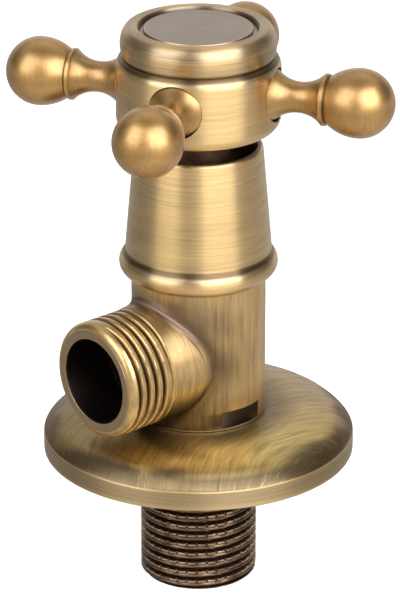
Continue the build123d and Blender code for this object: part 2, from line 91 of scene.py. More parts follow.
# Body
SHANK_R = 10.1
SHANK_FOOT_Z = 0.5
FOOT_Z = 7.65
NECK_R = 10.9
OUTLET_NECK_R = 10.55
OUTLET_THREAD_Y = -14.5
OUTLET_BORE_R = 7.2
INLET_BORE_R = 6.5
BRANCH_FILLET = 2.2
FLAT_X = mounts["wrench_flats"]["pos_m"][0] / MM
FLAT_TOP_Z = 11.05
FLAT_LIP = 0.35

# Arms
ARM_COUNT = 4
ARM_FIRST_ANGLE = 31.4
ARM_SEAT_X = 12.6
ARM_SEAT_R = 4.8
ARM_STUD_R = 2.5
BALL_X = 28.7


# Camera
CAMERA_AZIMUTH, CAMERA_ELEVATION, CAMERA_DISTANCE = radians(48.4), radians(22.84), 666 * MM
CAMERA_TARGET = Vector((0, 0, 28.4 * MM))


# Outlines: lists of (radius, height) points


def rounded(corners, closed=True):
    """Return an outline whose corners, given as (radius, height, round), are rounded off."""
    points = []
    count = len(corners)
    for index, (r, z, *rounding) in enumerate(corners):
        here = Vector((r, z))
        if not rounding or not closed and index in (0, count - 1):
            points.append(tuple(here))
            continue
        before = Vector(corners[index - 1][:2]) - here
        after = Vector(corners[(index + 1) % count][:2]) - here
        angle = before.angle(after)
        cut = rounding[0] / tan(angle / 2)
        before.normalize()
        after.normalize()
        centre = here + (before + after).normalized() * rounding[0] / sin(angle / 2)
        start, end = here + before * cut - centre, here + after * cut - centre
        support = min(0.6 * cut, 0.15)
        points.append(tuple(here + before * (cut + support)))
        turn = start.angle_signed(end)
        steps = max(3, int(abs(turn) / radians(14)))
        for step in range(steps + 1):
            part = start.copy()
            part.rotate(Matrix.Rotation(-turn * step / steps, 2))
            points.append(tuple(centre + part))
        points.append(tuple(here + after * (cut + support)))
    return points


def arc(start, middle, end, steps=16):
    """Return points on the circular arc from start through middle to end."""
    (ax, ay), (bx, by), (cx, cy) = start, middle, end
    d = 2 * (ax * (by - cy) + bx * (cy - ay) + cx * (ay - by))
    a2, b2, c2 = ax * ax + ay * ay, bx * bx + by * by, cx * cx + cy * cy
    ux = (a2 * (by - cy) + b2 * (cy - ay) + c2 * (ay - by)) / d
    uy = (a2 * (cx - bx) + b2 * (ax - cx) + c2 * (bx - ax)) / d
    first, mid, last = (atan2(y - uy, x - ux) for x, y in (start, middle, end))
    turn = (last - first) % (2 * pi)
    if (mid - first) % (2 * pi) > turn:
        turn -= 2 * pi
    radius = sqrt((ax - ux) ** 2 + (ay - uy) ** 2)
    angles = [first + turn * step / steps for step in range(steps + 1)]
    return [(ux + radius * cos(a), uy + radius * sin(a)) for a in angles]


def sweep(start, end, start_way, end_way, steps=16):
    """Return points on a smooth curve that leaves start and reaches end in the given ways."""
    points = []
    for step in range(steps + 1):
        t = step / steps
        a, b = 2 * t**3 - 3 * t**2 + 1, -2 * t**3 + 3 * t**2
        c, d = t**3 - 2 * t**2 + t, t**3 - t**2
        points.append(tuple(
            a * start[k] + b * end[k] + c * start_way[k] + d * end_way[k] for k in (0, 1)
        ))
    return points


def divided(start, end, spacing):
    """Return evenly spaced points on a straight run, without its end."""
    steps = max(1, round(sqrt((end[0] - start[0]) ** 2 + (end[1] - start[1]) ** 2) / spacing))
    return [tuple(start[k] + (end[k] - start[k]) * s / steps for k in (0, 1)) for s in range(steps)]


# Geometry Nodes


class Tree:
    """A node tree under construction, with a short way to add and join nodes."""

    def __init__(self, tree):
        self.tree = tree

    def add(self, kind, settings=None, **inputs):
        """Add a node, set its properties, and set or link its inputs by name or number."""
        node = self.tree.nodes.new(kind)
        for name, value in (settings or {}).items():
            setattr(node, name, value)
        for name, value in inputs.items():
            key = int(name[1:]) if name[0] == "i" and name[1:].isdigit() else name.replace("_", " ")
            self.join(value, node.inputs[key])
        return node

    def join(self, value, socket):
        """Link an output to a socket, or set the socket's own value."""
        if isinstance(value, bpy.types.Node):
            value = value.outputs[0]
        if isinstance(value, bpy.types.NodeSocket):
            self.tree.links.new(value, socket)
        elif value is not None:
            socket.default_value = value

    def math(self, operation, *values):
        """Add a Math node."""
        kind = "ShaderNodeMath"
        node = self.add(kind, {"operation": operation})
        for index, value in enumerate(values):
            self.join(value, node.inputs[index])
        return node.outputs[0]

    def vector(self, operation, *values):
        """Add a Vector Math node."""
        node = self.add("ShaderNodeVectorMath", {"operation": operation})
        for index, value in enumerate(values):
            self.join(value, node.inputs[index])
        return node.outputs["Value" if operation in ("LENGTH", "DOT_PRODUCT") else "Vector"]


def geometry_tree(name, inputs):
    """Start a Geometry Nodes tree with a geometry input and named values."""
    group = bpy.data.node_groups.new(name, "GeometryNodeTree")
    group.interface.new_socket("Outline", in_out="INPUT", socket_type="NodeSocketGeometry")
    for label, kind in inputs.items():
        group.interface.new_socket(label, in_out="INPUT", socket_type=f"NodeSocket{kind}")
    group.interface.new_socket("Piece", in_out="OUTPUT", socket_type="NodeSocketGeometry")
    tree = Tree(group)
    given = tree.add("NodeGroupInput").outputs
    return tree, given


def end_tree(tree, mesh, material):
    """Finish a tree: real geometry, smooth faces, the piece's material."""
    real = tree.add("GeometryNodeRealizeInstances", Geometry=mesh)
    joined = tree.add("GeometryNodeMergeByDistance", Geometry=real, Distance=0.002 * MM)
    smooth = tree.add("GeometryNodeSetShadeSmooth", Geometry=joined)
    painted = tree.add("GeometryNodeSetMaterial", Geometry=smooth, Material=material)
    tree.join(painted, tree.add("NodeGroupOutput").inputs[0])


def turned_mesh(tree, given):
    """Add the nodes that turn the outline about the Z axis."""
    path = tree.add("GeometryNodeCurvePrimitiveCircle", Resolution=given["Segments"], Radius=given["Path radius"])
    turned = tree.add("GeometryNodeCurveToMesh", Curve=path)
    tree.join(given["Outline"], turned.inputs["Profile Curve"])
    return turned


def turning_tree():
    """Build the lathe: an outline turned about the Z axis."""
    tree, given = geometry_tree("turning", {"Segments": "Int", "Path radius": "Float", "Material": "Material"})
    end_tree(tree, turned_mesh(tree, given), given["Material"])
    return tree.tree


def cylinder_coordinates(tree):
    """Return position, radius, turns about Z from -0.5 to 0.5, and height."""
    position = tree.add("GeometryNodeInputPosition")
    parts = tree.add("ShaderNodeSeparateXYZ", Vector=position).outputs
    across = tree.add("ShaderNodeCombineXYZ", X=parts["X"], Y=parts["Y"], Z=0.0)
    radius = tree.vector("LENGTH", across)
    turns = tree.math("DIVIDE", tree.math("ARCTAN2", parts["Y"], parts["X"]), 2 * pi)
    return across, radius, turns, parts["Z"]


def soft_step(tree, value, low, high):
    """Return a smooth rise from 0 to 1 between two values."""
    node = tree.add("ShaderNodeMapRange", {"interpolation_type": "SMOOTHSTEP"}, Value=value)
    tree.join(low, node.inputs["From Min"])
    tree.join(high, node.inputs["From Max"])
    return node.outputs[0]


def threading_tree():
    """Build the lathe with a right-hand pipe thread cut into the outside of the outline.

    The cut starts at height Start on the side First turn and runs up for a number of turns. The
    tool comes in and lifts out again over a part of a turn. Dent is a shallow line along the
    crest, and notches are small cuts across its upper edge that hold sealing tape.
    """
    tree, given = geometry_tree("threading", {
        "Segments": "Int", "Path radius": "Float", "Major radius": "Float", "Pitch": "Float",
        "Depth": "Float", "Root width": "Float", "Groove width": "Float", "Start": "Float",
        "First turn": "Float", "Turns": "Float", "Come in": "Float", "Lift out": "Float", "Dent": "Float",
        "Notches": "Float", "Notch depth": "Float", "Material": "Material",
    })
    mesh = turned_mesh(tree, given)
    across, radius, turns, height = cylinder_coordinates(tree)
    turns = tree.math("WRAP", tree.math("SUBTRACT", turns, given["First turn"]), 1.0, 0.0)
    along = tree.math("DIVIDE", tree.math("SUBTRACT", height, given["Start"]), given["Pitch"])
    phase = tree.math("ADD", tree.math("SUBTRACT", along, turns), 0.5)
    from_root = tree.math("SUBTRACT", tree.math("FLOORED_MODULO", phase, 1.0), 0.5)
    from_root = tree.math("MULTIPLY", tree.math("ABSOLUTE", from_root), 2.0)
    rise = tree.math("DIVIDE", tree.math("SUBTRACT", given["Groove width"], from_root),
                     tree.math("SUBTRACT", given["Groove width"], given["Root width"]))
    turn_number = tree.math("ADD", tree.math("FLOOR", phase), turns)
    come_in = tree.math("SUBTRACT", 1.0, soft_step(tree, turn_number, 0.0, given["Come in"]))
    lift_start = tree.math("SUBTRACT", given["Turns"], given["Lift out"])
    lift_out = tree.math("MULTIPLY", soft_step(tree, turn_number, lift_start, given["Turns"]), 1.15)
    lift = tree.math("MAXIMUM", come_in, lift_out)
    flank = tree.math("MULTIPLY", given["Depth"], tree.math("SUBTRACT", rise, lift))
    rounding = tree.math("MULTIPLY", given["Depth"], 0.22)
    cut = tree.math("SMOOTH_MAX", flank, 0.0, rounding)
    cut = tree.math("SMOOTH_MIN", cut, given["Depth"], rounding)
    angle = tree.math("MULTIPLY", phase, 2 * pi)
    crest_side = tree.math("MULTIPLY", tree.math("COSINE", angle), 1.0)
    upper_side = tree.math("SINE", angle)
    dent = tree.math("MULTIPLY", soft_step(tree, crest_side, 0.80, 1.0), given["Dent"])
    notch = tree.math("FLOORED_MODULO", tree.math("MULTIPLY", turns, given["Notches"]), 1.0)
    notch = tree.math("MULTIPLY", tree.math("ABSOLUTE", tree.math("SUBTRACT", notch, 0.5)), 2.0)
    notch = tree.math("MULTIPLY", soft_step(tree, notch, 0.74, 0.90), soft_step(tree, upper_side, 0.0, 0.3))
    notch_cut = tree.math("MULTIPLY", notch, given["Notch depth"])
    cut = tree.math("MAXIMUM", cut, tree.math("MAXIMUM", dent, notch_cut))
    limit = tree.math("SUBTRACT", given["Major radius"], cut)
    factor = tree.math("DIVIDE", tree.math("MINIMUM", radius, limit), tree.math("MAXIMUM", radius, MM))
    moved = tree.add("ShaderNodeCombineXYZ", Z=height)
    flat = tree.add("ShaderNodeVectorMath", {"operation": "SCALE"}, Vector=across, Scale=factor)
    place = tree.vector("ADD", flat.outputs["Vector"], moved)
    on_thread = tree.add("ShaderNodeCombineXYZ", X=crest_side, Y=upper_side, Z=notch)
    marked = tree.add("GeometryNodeStoreNamedAttribute", {"data_type": "FLOAT_VECTOR", "domain": "POINT"},
                      Geometry=mesh, Name="thread_place")
    tree.join(on_thread, marked.inputs["Value"])
    cut_mesh = tree.add("GeometryNodeSetPosition", Geometry=marked, Position=place)
    end_tree(tree, cut_mesh, given["Material"])
    return tree.tree


def arms_tree():
    """Build the arms: one turned outline, laid along X and set round the hub."""
    tree, given = geometry_tree("arms round the hub", {
        "Segments": "Int", "Path radius": "Float", "Count": "Int", "First angle": "Float",
        "Height": "Float", "Material": "Material",
    })
    placed = tree.add("GeometryNodeStoreNamedAttribute", {"data_type": "FLOAT_VECTOR", "domain": "POINT"},
                      Geometry=turned_mesh(tree, given), Name="arm_place")
    tree.join(tree.add("GeometryNodeInputPosition"), placed.inputs["Value"])
    lying = tree.add("GeometryNodeTransform", Geometry=placed, Rotation=(0, pi / 2, 0))
    centres = tree.add("GeometryNodeMeshLine", Count=given["Count"], Offset=(0, 0, 0))
    index = tree.add("GeometryNodeInputIndex")
    step = tree.math("DIVIDE", 2 * pi, given["Count"])
    angle = tree.math("ADD", given["First angle"], tree.math("MULTIPLY", index, step))
    turn = tree.add("ShaderNodeCombineXYZ", Z=angle)
    set_round = tree.add("GeometryNodeInstanceOnPoints", Points=centres, Instance=lying)
    tree.join(turn.outputs[0], set_round.inputs["Rotation"])
    lift = tree.add("ShaderNodeCombineXYZ", Z=given["Height"])
    raised = tree.add("GeometryNodeTransform", Geometry=set_round)
    tree.join(lift.outputs[0], raised.inputs["Translation"])
    end_tree(tree, raised, given["Material"])
    return tree.tree


def made_by(tree, name, outline, closed=True, **values):
    """Return a plain mesh object that a tree makes from an outline in millimetres."""
    path_radius = 5.0
    curve = bpy.data.curves.new(name, "CURVE")
    curve.dimensions = "3D"
    spline = curve.splines.new("POLY")
    spline.points.add(len(outline) - 1)
    for point, (r, z) in zip(spline.points, outline):
        point.co = ((r - path_radius) * MM, -z * MM, 0, 1)
    spline.use_cyclic_u = closed
    maker = bpy.data.objects.new(name, curve)
    bpy.context.scene.collection.objects.link(maker)
    modifier = maker.modifiers.new(tree.name, "NODES")
    modifier.node_group = tree
    values["Path radius"] = path_radius * MM
    for item in tree.interface.items_tree:
        if item.in_out == "INPUT" and item.name in values:
            modifier[item.identifier] = values[item.name]
    evaluated = maker.evaluated_get(bpy.context.evaluated_depsgraph_get())
    mesh = bpy.data.meshes.new_from_object(evaluated)
    maker.modifiers.remove(modifier)
    bpy.data.objects.remove(maker)
    bpy.data.curves.remove(curve)
    return object_of(name, mesh)


def object_of(name, mesh):
    """Put a mesh in the scene, with its faces pointing outwards."""
    work = bmesh.new()
    work.from_mesh(mesh)
    bmesh.ops.recalc_face_normals(work, faces=work.faces)
    work.to_mesh(mesh)
    work.free()
    mesh.name = name
    piece = bpy.data.objects.new(name, mesh)
    bpy.context.scene.collection.objects.link(piece)
    return piece


def cut_by(piece, cutter, operation="DIFFERENCE"):
    """Cut a piece by another one, or join them, and drop the tool."""
    modifier = piece.modifiers.new("cut", "BOOLEAN")
    modifier.operation = operation
    modifier.solver = "EXACT"
    modifier.material_mode = "TRANSFER"
    modifier.object = cutter
    evaluated = piece.evaluated_get(bpy.context.evaluated_depsgraph_get())
    mesh = bpy.data.meshes.new_from_object(evaluated)
    piece.modifiers.remove(modifier)
    old = piece.data
    piece.data = mesh
    bpy.data.meshes.remove(old)
    bpy.data.objects.remove(cutter)
    return piece


def crisp(piece, angle=32):
    """Clear what the cuts left of thinnest faces, and shade a piece smooth but for sharp edges."""
    mesh = piece.data
    work = bmesh.new()
    work.from_mesh(mesh)
    bmesh.ops.remove_doubles(work, verts=work.verts, dist=0.0005 * MM)
    bmesh.ops.dissolve_degenerate(work, edges=work.edges, dist=0.0005 * MM)
    work.to_mesh(mesh)
    work.free()
    mesh.polygons.foreach_set("use_smooth", [True] * len(mesh.polygons))
    mesh.set_sharp_from_angle(angle=radians(angle))
    return piece


def bar(name, radius, start, end, finish, axis="Z", segments=96):
    """Return a round bar from start to end along an axis, in millimetres."""
    work = bmesh.new()
    bmesh.ops.create_cone(work, cap_ends=True, segments=segments, radius1=radius * MM, radius2=radius * MM,
                          depth=(end - start) * MM)
    bmesh.ops.translate(work, verts=work.verts, vec=(0, 0, (start + end) / 2 * MM))
    turn = {"X": Matrix.Rotation(pi / 2, 3, "Y"), "Y": Matrix.Rotation(-pi / 2, 3, "X"), "Z": Matrix.Identity(3)}
    bmesh.ops.rotate(work, verts=work.verts, matrix=turn[axis], cent=(0, 0, 0))
    mesh = bpy.data.meshes.new(name)
    work.to_mesh(mesh)
    work.free()
    mesh.materials.append(finish)
    return object_of(name, mesh)


def slab(name, low, high, finish):
    """Return a box between two corners, in millimetres."""
    work = bmesh.new()
    bmesh.ops.create_cube(work, size=1)
    size = [(h - l) * MM for l, h in zip(low, high)]
    middle = [(h + l) / 2 * MM for l, h in zip(low, high)]
    bmesh.ops.scale(work, verts=work.verts, vec=size)
    bmesh.ops.translate(work, verts=work.verts, vec=middle)
    mesh = bpy.data.meshes.new(name)
    work.to_mesh(mesh)
    work.free()
    mesh.materials.append(finish)
    return object_of(name, mesh)


# Materials


def material(name):
    """Start a material and return it with its tree and its Principled node."""
    made = bpy.data.materials.new(name)
    made.use_nodes = True
    tree = Tree(made.node_tree)
    return made, tree, made.node_tree.nodes["Principled BSDF"]


def noise(tree, where, scale=(1, 1, 1), detail=3.0, roughness=0.55):
    """Return noise at a place, stretched by a scale on each axis."""
    mapped = tree.add("ShaderNodeMapping", Vector=where, Scale=scale)
    return tree.add("ShaderNodeTexNoise", Vector=mapped, Scale=1.0, Detail=detail, Roughness=roughness).outputs["Fac"]


def ramp(tree, value, *stops):
    """Return a colour ramp of (position, colour) stops."""
    node = tree.add("ShaderNodeValToRGB", Fac=value)
    elements = node.color_ramp.elements
    while len(elements) < len(stops):
        elements.new(0.5)
    for element, (position, colour) in zip(elements, stops):
        element.position = position
        element.color = (*colour, 1)
    return node.outputs["Color"]


def spread(tree, value, low, high, to_low=0.0, to_high=1.0):
    """Map a range of values on to another one."""
    node = tree.add("ShaderNodeMapRange", Value=value)
    for label, number in (("From Min", low), ("From Max", high), ("To Min", to_low), ("To Max", to_high)):
        node.inputs[label].default_value = number
    return node.outputs[0]


def weighed(tree, *terms):
    """Return the sum of values, each times its weight."""
    total = None
    for value, weight in terms:
        part = tree.math("MULTIPLY", value, weight)
        total = part if total is None else tree.math("ADD", total, part)
    return total


def mixed(tree, factor, first, second):
    """Return a colour between two others."""
    node = tree.add("ShaderNodeMix", {"data_type": "RGBA"}, Factor=factor)
    for value, socket in ((first, node.inputs[6]), (second, node.inputs[7])):
        tree.join((*value, 1) if isinstance(value, tuple) else value, socket)
    return node.outputs[2]


def mixed_value(tree, factor, first, second):
    """Return a number between two others."""
    node = tree.add("ShaderNodeMix", Factor=factor)
    tree.join(first, node.inputs[2])
    tree.join(second, node.inputs[3])
    return node.outputs[0]


def place(tree):
    """Return the point in object space with its parts."""
    where = tree.add("ShaderNodeTexCoord").outputs["Object"]
    parts = tree.add("ShaderNodeSeparateXYZ", Vector=where).outputs
    return where, parts["X"], parts["Y"], parts["Z"]


def polar(tree, across, other, along):
    """Return radius, a place for noise that follows circles round an axis, and the way along them."""
    flat = tree.add("ShaderNodeCombineXYZ", X=across, Y=other)
    radius = tree.vector("LENGTH", flat)
    unit = tree.add("ShaderNodeVectorMath", {"operation": "NORMALIZE"}, Vector=flat).outputs["Vector"]
    parts = tree.add("ShaderNodeSeparateXYZ", Vector=unit).outputs
    line = tree.math("ADD", radius, along)
    circles = tree.add("ShaderNodeCombineXYZ", X=parts["X"], Y=parts["Y"], Z=line)
    return radius, circles, parts


def beyond(tree, value, edge, soft):
    """Return 0 below an edge and 1 above it, in millimetres, with a soft change."""
    return soft_step(tree, value, (edge - soft / 2) * MM, (edge + soft / 2) * MM)


def within(tree, value, low, high, soft):
    """Return 1 between two edges, in millimetres, and 0 outside them, with soft changes."""
    return tree.math("SUBTRACT", beyond(tree, value, low, soft), beyond(tree, value, high, soft))


# Linear colours of the aged brass: pale bare metal, which also paints highlight lines; a dark brown for patina, which
# also paints shade; and a taupe, part patina and part painted greyish reflection
BARE_AND_HIGHLIGHT = (0.80, 0.565, 0.25)
BRASS = (0.665, 0.452, 0.178)
AGED = (0.46, 0.29, 0.105)
FILM_AND_SHADE = (0.10, 0.062, 0.032)
TAUPE = (0.25, 0.187, 0.128)


def tones(middle, contrast=1.0):
    """Return aged, middle and bare shades about a colour."""
    dark = tuple(m * (1 - 0.30 * contrast) for m in middle)
    light = tuple(min(0.95, m * (1 + 0.20 * contrast)) for m in middle)
    return dark, middle, light


def finished(tree, shader, colour, roughness, relief, relief_strength, coat=1.0, coat_roughness=0.3, coat_ior=1.5):
    """Join colour, gloss and relief to a lacquered metal."""
    tree.join(colour, shader.inputs["Base Color"])
    tree.join(roughness, shader.inputs["Roughness"])
    shader.inputs["Metallic"].default_value = 1.0
    shader.inputs["Coat Weight"].default_value = coat
    shader.inputs["Coat Roughness"].default_value = coat_roughness
    shader.inputs["Coat IOR"].default_value = coat_ior
    bump = tree.add("ShaderNodeBump", Height=relief, Strength=relief_strength, Distance=0.04 * MM)
    tree.join(bump, shader.inputs["Normal"])


def brush(tree, shader, direction, anisotropy):
    """Spread the highlights across the brush marks, which run in a direction."""
    shader.inputs["Anisotropic"].default_value = anisotropy
    shader.inputs["Anisotropic Rotation"].default_value = 0.25
    tree.join(direction, shader.inputs["Tangent"])


def turned_finish(name, middle=BRASS, film_and_shade=(), anisotropy=0.93, roughness=(0.33, 0.43), contrast=1.0, inside=None,
                  highlight_ring=None):
    """Return brass brushed on the lathe: circles round Z, with dark brown bands of patina and painted shade between
    heights.

    film_and_shade holds (low, high, soft, strength) in millimetres of height. inside is a radius within
    which the dark brown covers all, as painted shade and patina. highlight_ring holds the two radii of a painted
    highlight line.
    """
    made, tree, shader = material(name)
    where, x, y, z = place(tree)
    radius, circles, parts = polar(tree, x, y, z)
    fine = noise(tree, circles, (1.6, 1.6, 11000), detail=4.0, roughness=0.6)
    lines = noise(tree, circles, (0.9, 0.9, 3400), detail=3.0)
    broad = noise(tree, circles, (0.5, 0.5, 600), detail=2.0)
    streak = weighed(tree, (fine, 0.45), (lines, 0.37), (broad, 0.18))
    dark, mid, light = tones(middle, contrast)
    colour = ramp(tree, streak, (0.36, dark), (0.5, mid), (0.64, light))
    dull = 0.0
    # Dark brown bands: patina in grooves, painted shade beneath and between parts
    for low, high, soft, strength in film_and_shade:
        mask = tree.math("MULTIPLY", within(tree, z, low, high, soft), strength)
        colour = mixed(tree, mask, colour, FILM_AND_SHADE)
        dull = tree.math("MAXIMUM", dull, mask)
    # Within this radius the piece is painted dark brown: painted shade on inner walls, patina on a lip
    if inside:
        mask = tree.math("SUBTRACT", 1.0, beyond(tree, radius, inside, 0.3))
        colour = mixed(tree, tree.math("MULTIPLY", mask, 0.85), colour, FILM_AND_SHADE)
    # Painted highlight: a pale line between two radii
    if highlight_ring:
        colour = mixed(tree, tree.math("MULTIPLY", within(tree, radius, *highlight_ring, 0.06), 0.6), colour, BARE_AND_HIGHLIGHT)
    finished(tree, shader, colour, spread(tree, streak, 0.35, 0.65, roughness[1], roughness[0]), fine, 0.07,
             coat_ior=1.8)
    tree.join(tree.math("SUBTRACT", 1.0, dull), shader.inputs["Coat Weight"])
    around = tree.add("ShaderNodeTangent", {"direction_type": "RADIAL", "axis": "Z"})
    brush(tree, shader, around.outputs[0], anisotropy)
    return made


def body_finish():
    """Return the body's brass: brushed up the barrel and round the outlet branch, with painted shade and patina round
    the branch, painted shade beneath the bonnet and a painted highlight along the fillet.
    """
    made, tree, shader = material("brushed brass of the body")
    where, x, y, z = place(tree)
    radius, circles, parts = polar(tree, x, y, z)
    branch = tree.math("MULTIPLY", beyond(tree, radius, BARREL_R + 0.9, 1.4), tree.math("LESS_THAN", y, 0.0))
    up = tree.add("ShaderNodeCombineXYZ", X=parts["X"], Y=parts["Y"], Z=z)
    up_fine = noise(tree, up, (31, 31, 120), detail=5.0, roughness=0.75)
    up_broad = noise(tree, up, (9, 9, 24), detail=3.0)
    from_axis = tree.math("SUBTRACT", z, OUTLET_Z * MM)
    branch_radius, branch_circles, branch_parts = polar(tree, x, from_axis, y)
    round_fine = noise(tree, branch_circles, (3.0, 3.0, 8000), detail=4.0, roughness=0.6)
    round_broad = noise(tree, branch_circles, (1.5, 1.5, 1500), detail=3.0)
    fine = mixed_value(tree, branch, up_fine, round_fine)
    broad = mixed_value(tree, branch, up_broad, round_broad)
    streak = weighed(tree, (fine, 0.44), (broad, 0.28), (noise(tree, where, (240, 240, 90), detail=5.0), 0.28))
    dark, mid, light = tones((0.67, 0.45, 0.187), 1.75)
    colour = ramp(tree, streak, (0.36, dark), (0.5, mid), (0.64, light))
    # Painted shade on the barrel just beneath the bonnet
    shade_under_bonnet = tree.math("MULTIPLY", within(tree, z, BARREL_TOP_Z - 0.35, BARREL_TOP_Z + 1, 0.5), 0.85)
    foot = tree.math("MULTIPLY", within(tree, z, FOOT_Z - 1, FOOT_Z + 0.22, 0.1), 0.9)
    # Darker brown is painted round the branch, part patina and part painted shade: on the barrel beside and over it, in
    # the fillet, over and beneath its neck and beside the wrench flats; darkest beneath the branch
    cloud = soft_step(tree, noise(tree, where, (130, 130, 60), detail=4.0), 0.30, 0.68)
    # Dark brown on the barrel beside the branch, part patina and part painted shade
    beside = tree.math("SUBTRACT", 1.0, soft_step(tree, branch_radius, 10.4 * MM, 12.9 * MM))
    beside = tree.math("MULTIPLY", beside, tree.math("SUBTRACT", 1.0, branch))
    beside = tree.math("MULTIPLY", beside, soft_step(tree, tree.math("MULTIPLY", parts["Y"], -1.0), -0.3, 0.2))
    beside = tree.math("MULTIPLY", beside, mixed_value(tree, cloud, 0.95, 0.6))
    # Dark brown on the barrel over the branch, part patina and part painted shade
    raised = tree.add("ShaderNodeCombineXYZ", X=x, Y=tree.math("SUBTRACT", from_axis, 4.0 * MM))
    above = tree.math("SUBTRACT", 1.0, soft_step(tree, tree.vector("LENGTH", raised), 9.5 * MM, 14.5 * MM))
    above = tree.math("MULTIPLY", above, tree.math("MULTIPLY", tree.math("SUBTRACT", 1.0, branch), beyond(tree, z, OUTLET_Z + 6, 6)))
    above = tree.math("MULTIPLY", above, tree.math("MULTIPLY", tree.math("LESS_THAN", y, 0.0), mixed_value(tree, cloud, 0.8, 0.5)))
    light = tree.math("MULTIPLY", beyond(tree, z, BARREL_TOP_Z - 1.6, 2.0), tree.math("SUBTRACT", 1.0, beyond(tree, x, 6.5, 4.0)))
    above = tree.math("MULTIPLY", above, tree.math("SUBTRACT", 1.0, light))
    # Painted shade in the fillet where the branch meets the barrel
    fillet_shade = tree.math("MULTIPLY", beyond(tree, radius, BARREL_R + 0.12, 0.3),
                      beyond(tree, branch_radius, OUTLET_NECK_R + 0.12, 0.3))
    fillet_shade = tree.math("MULTIPLY", fillet_shade, 0.85)
    # Painted shade on the neck: mostly its lower side, less its upper side by the barrel
    lower = tree.math("SUBTRACT", 1.0, beyond(tree, z, OUTLET_Z - 5.5, 6.0))
    upper = beyond(tree, z, OUTLET_Z + 7.0, 5.0)
    neck = tree.math("MULTIPLY", weighed(tree, (lower, 0.9), (upper, 0.6)), branch)
    neck = tree.math("MULTIPLY", neck, mixed_value(tree, cloud, 1.0, 0.6))
    # Dark brown beside the wrench flats, part patina and part painted shade
    low_flat = within(tree, z, FOOT_Z + 0.7, FLAT_TOP_Z - 0.25, 0.9)
    by_flat = tree.math("MULTIPLY", low_flat, soft_step(tree, tree.math("ABSOLUTE", parts["X"]), 0.73, 0.93))
    by_flat = tree.math("MULTIPLY", by_flat, tree.math("MULTIPLY", tree.math("LESS_THAN", y, 0.0), 0.92))
    # Painted shade on the barrel beneath the branch, the darkest of these marks
    shade_under_branch = tree.math("SUBTRACT", 1.0, beyond(tree, z, 14.0, 7.0))
    shade_under_branch = tree.math("MULTIPLY", shade_under_branch, soft_step(tree, tree.math("MULTIPLY", parts["Y"], -1.0), -0.1, 0.5))
    shade_under_branch = tree.math("MULTIPLY", shade_under_branch, mixed_value(tree, cloud, 0.97, 0.80))
    shade_under_branch = tree.math("MULTIPLY", shade_under_branch, spread(tree, streak, 0.45, 0.60, 1.0, 0.86))
    for mask, film_and_shade in ((above, (0.14, 0.09, 0.052)), (beside, (0.105, 0.066, 0.034)), (neck, (0.09, 0.054, 0.026)), (by_flat, (0.078, 0.052, 0.033)),
                       (shade_under_branch, (0.050, 0.028, 0.013))):
        colour = mixed(tree, mask, colour, film_and_shade)
    colour = mixed(tree, fillet_shade, colour, (0.105, 0.062, 0.042))
    # Painted highlight: a pale pinkish line along the middle of the fillet
    apart = tree.math("SUBTRACT", tree.math("SUBTRACT", radius, BARREL_R * MM),
                      tree.math("SUBTRACT", branch_radius, OUTLET_NECK_R * MM))
    crease_highlight = tree.math("SUBTRACT", 1.0, beyond(tree, tree.math("ABSOLUTE", apart), 0.16, 0.36))
    crease_highlight = tree.math("MULTIPLY", tree.math("MULTIPLY", crease_highlight, fillet_shade), 0.45)
    colour = mixed(tree, crease_highlight, colour, (0.40, 0.25, 0.175))
    for mask in (shade_under_bonnet,):
        colour = mixed(tree, mask, colour, FILM_AND_SHADE)
    colour = mixed(tree, foot, colour, BARE_AND_HIGHLIGHT)
    finished(tree, shader, colour, spread(tree, streak, 0.35, 0.65, 0.50, 0.40), fine, 0.12)
    dull = tree.math("MAXIMUM", tree.math("MAXIMUM", fillet_shade, shade_under_branch), tree.math("MAXIMUM", beside, neck))
    tree.join(spread(tree, dull, 0.1, 0.8, 1.0, 0.2), shader.inputs["Coat Weight"])
    shader.inputs["Anisotropic"].default_value = 0.8
    around = tree.add("ShaderNodeTangent", {"direction_type": "RADIAL", "axis": "Z"}).outputs[0]
    round_branch = tree.add("ShaderNodeTangent", {"direction_type": "RADIAL", "axis": "Y"}).outputs[0]
    normal = tree.add("ShaderNodeNewGeometry").outputs["Normal"]
    out = tree.vector("CROSS_PRODUCT", normal, round_branch)
    way = tree.add("ShaderNodeMix", {"data_type": "VECTOR"}, Factor=branch)
    tree.join(around, way.inputs[4])
    tree.join(out, way.inputs[5])
    tree.join(way.outputs[1], shader.inputs["Tangent"])
    return made


# The flange's brush marks are arcs round a point beside it
SWIRL_CENTRE = (45.7, 2.7)


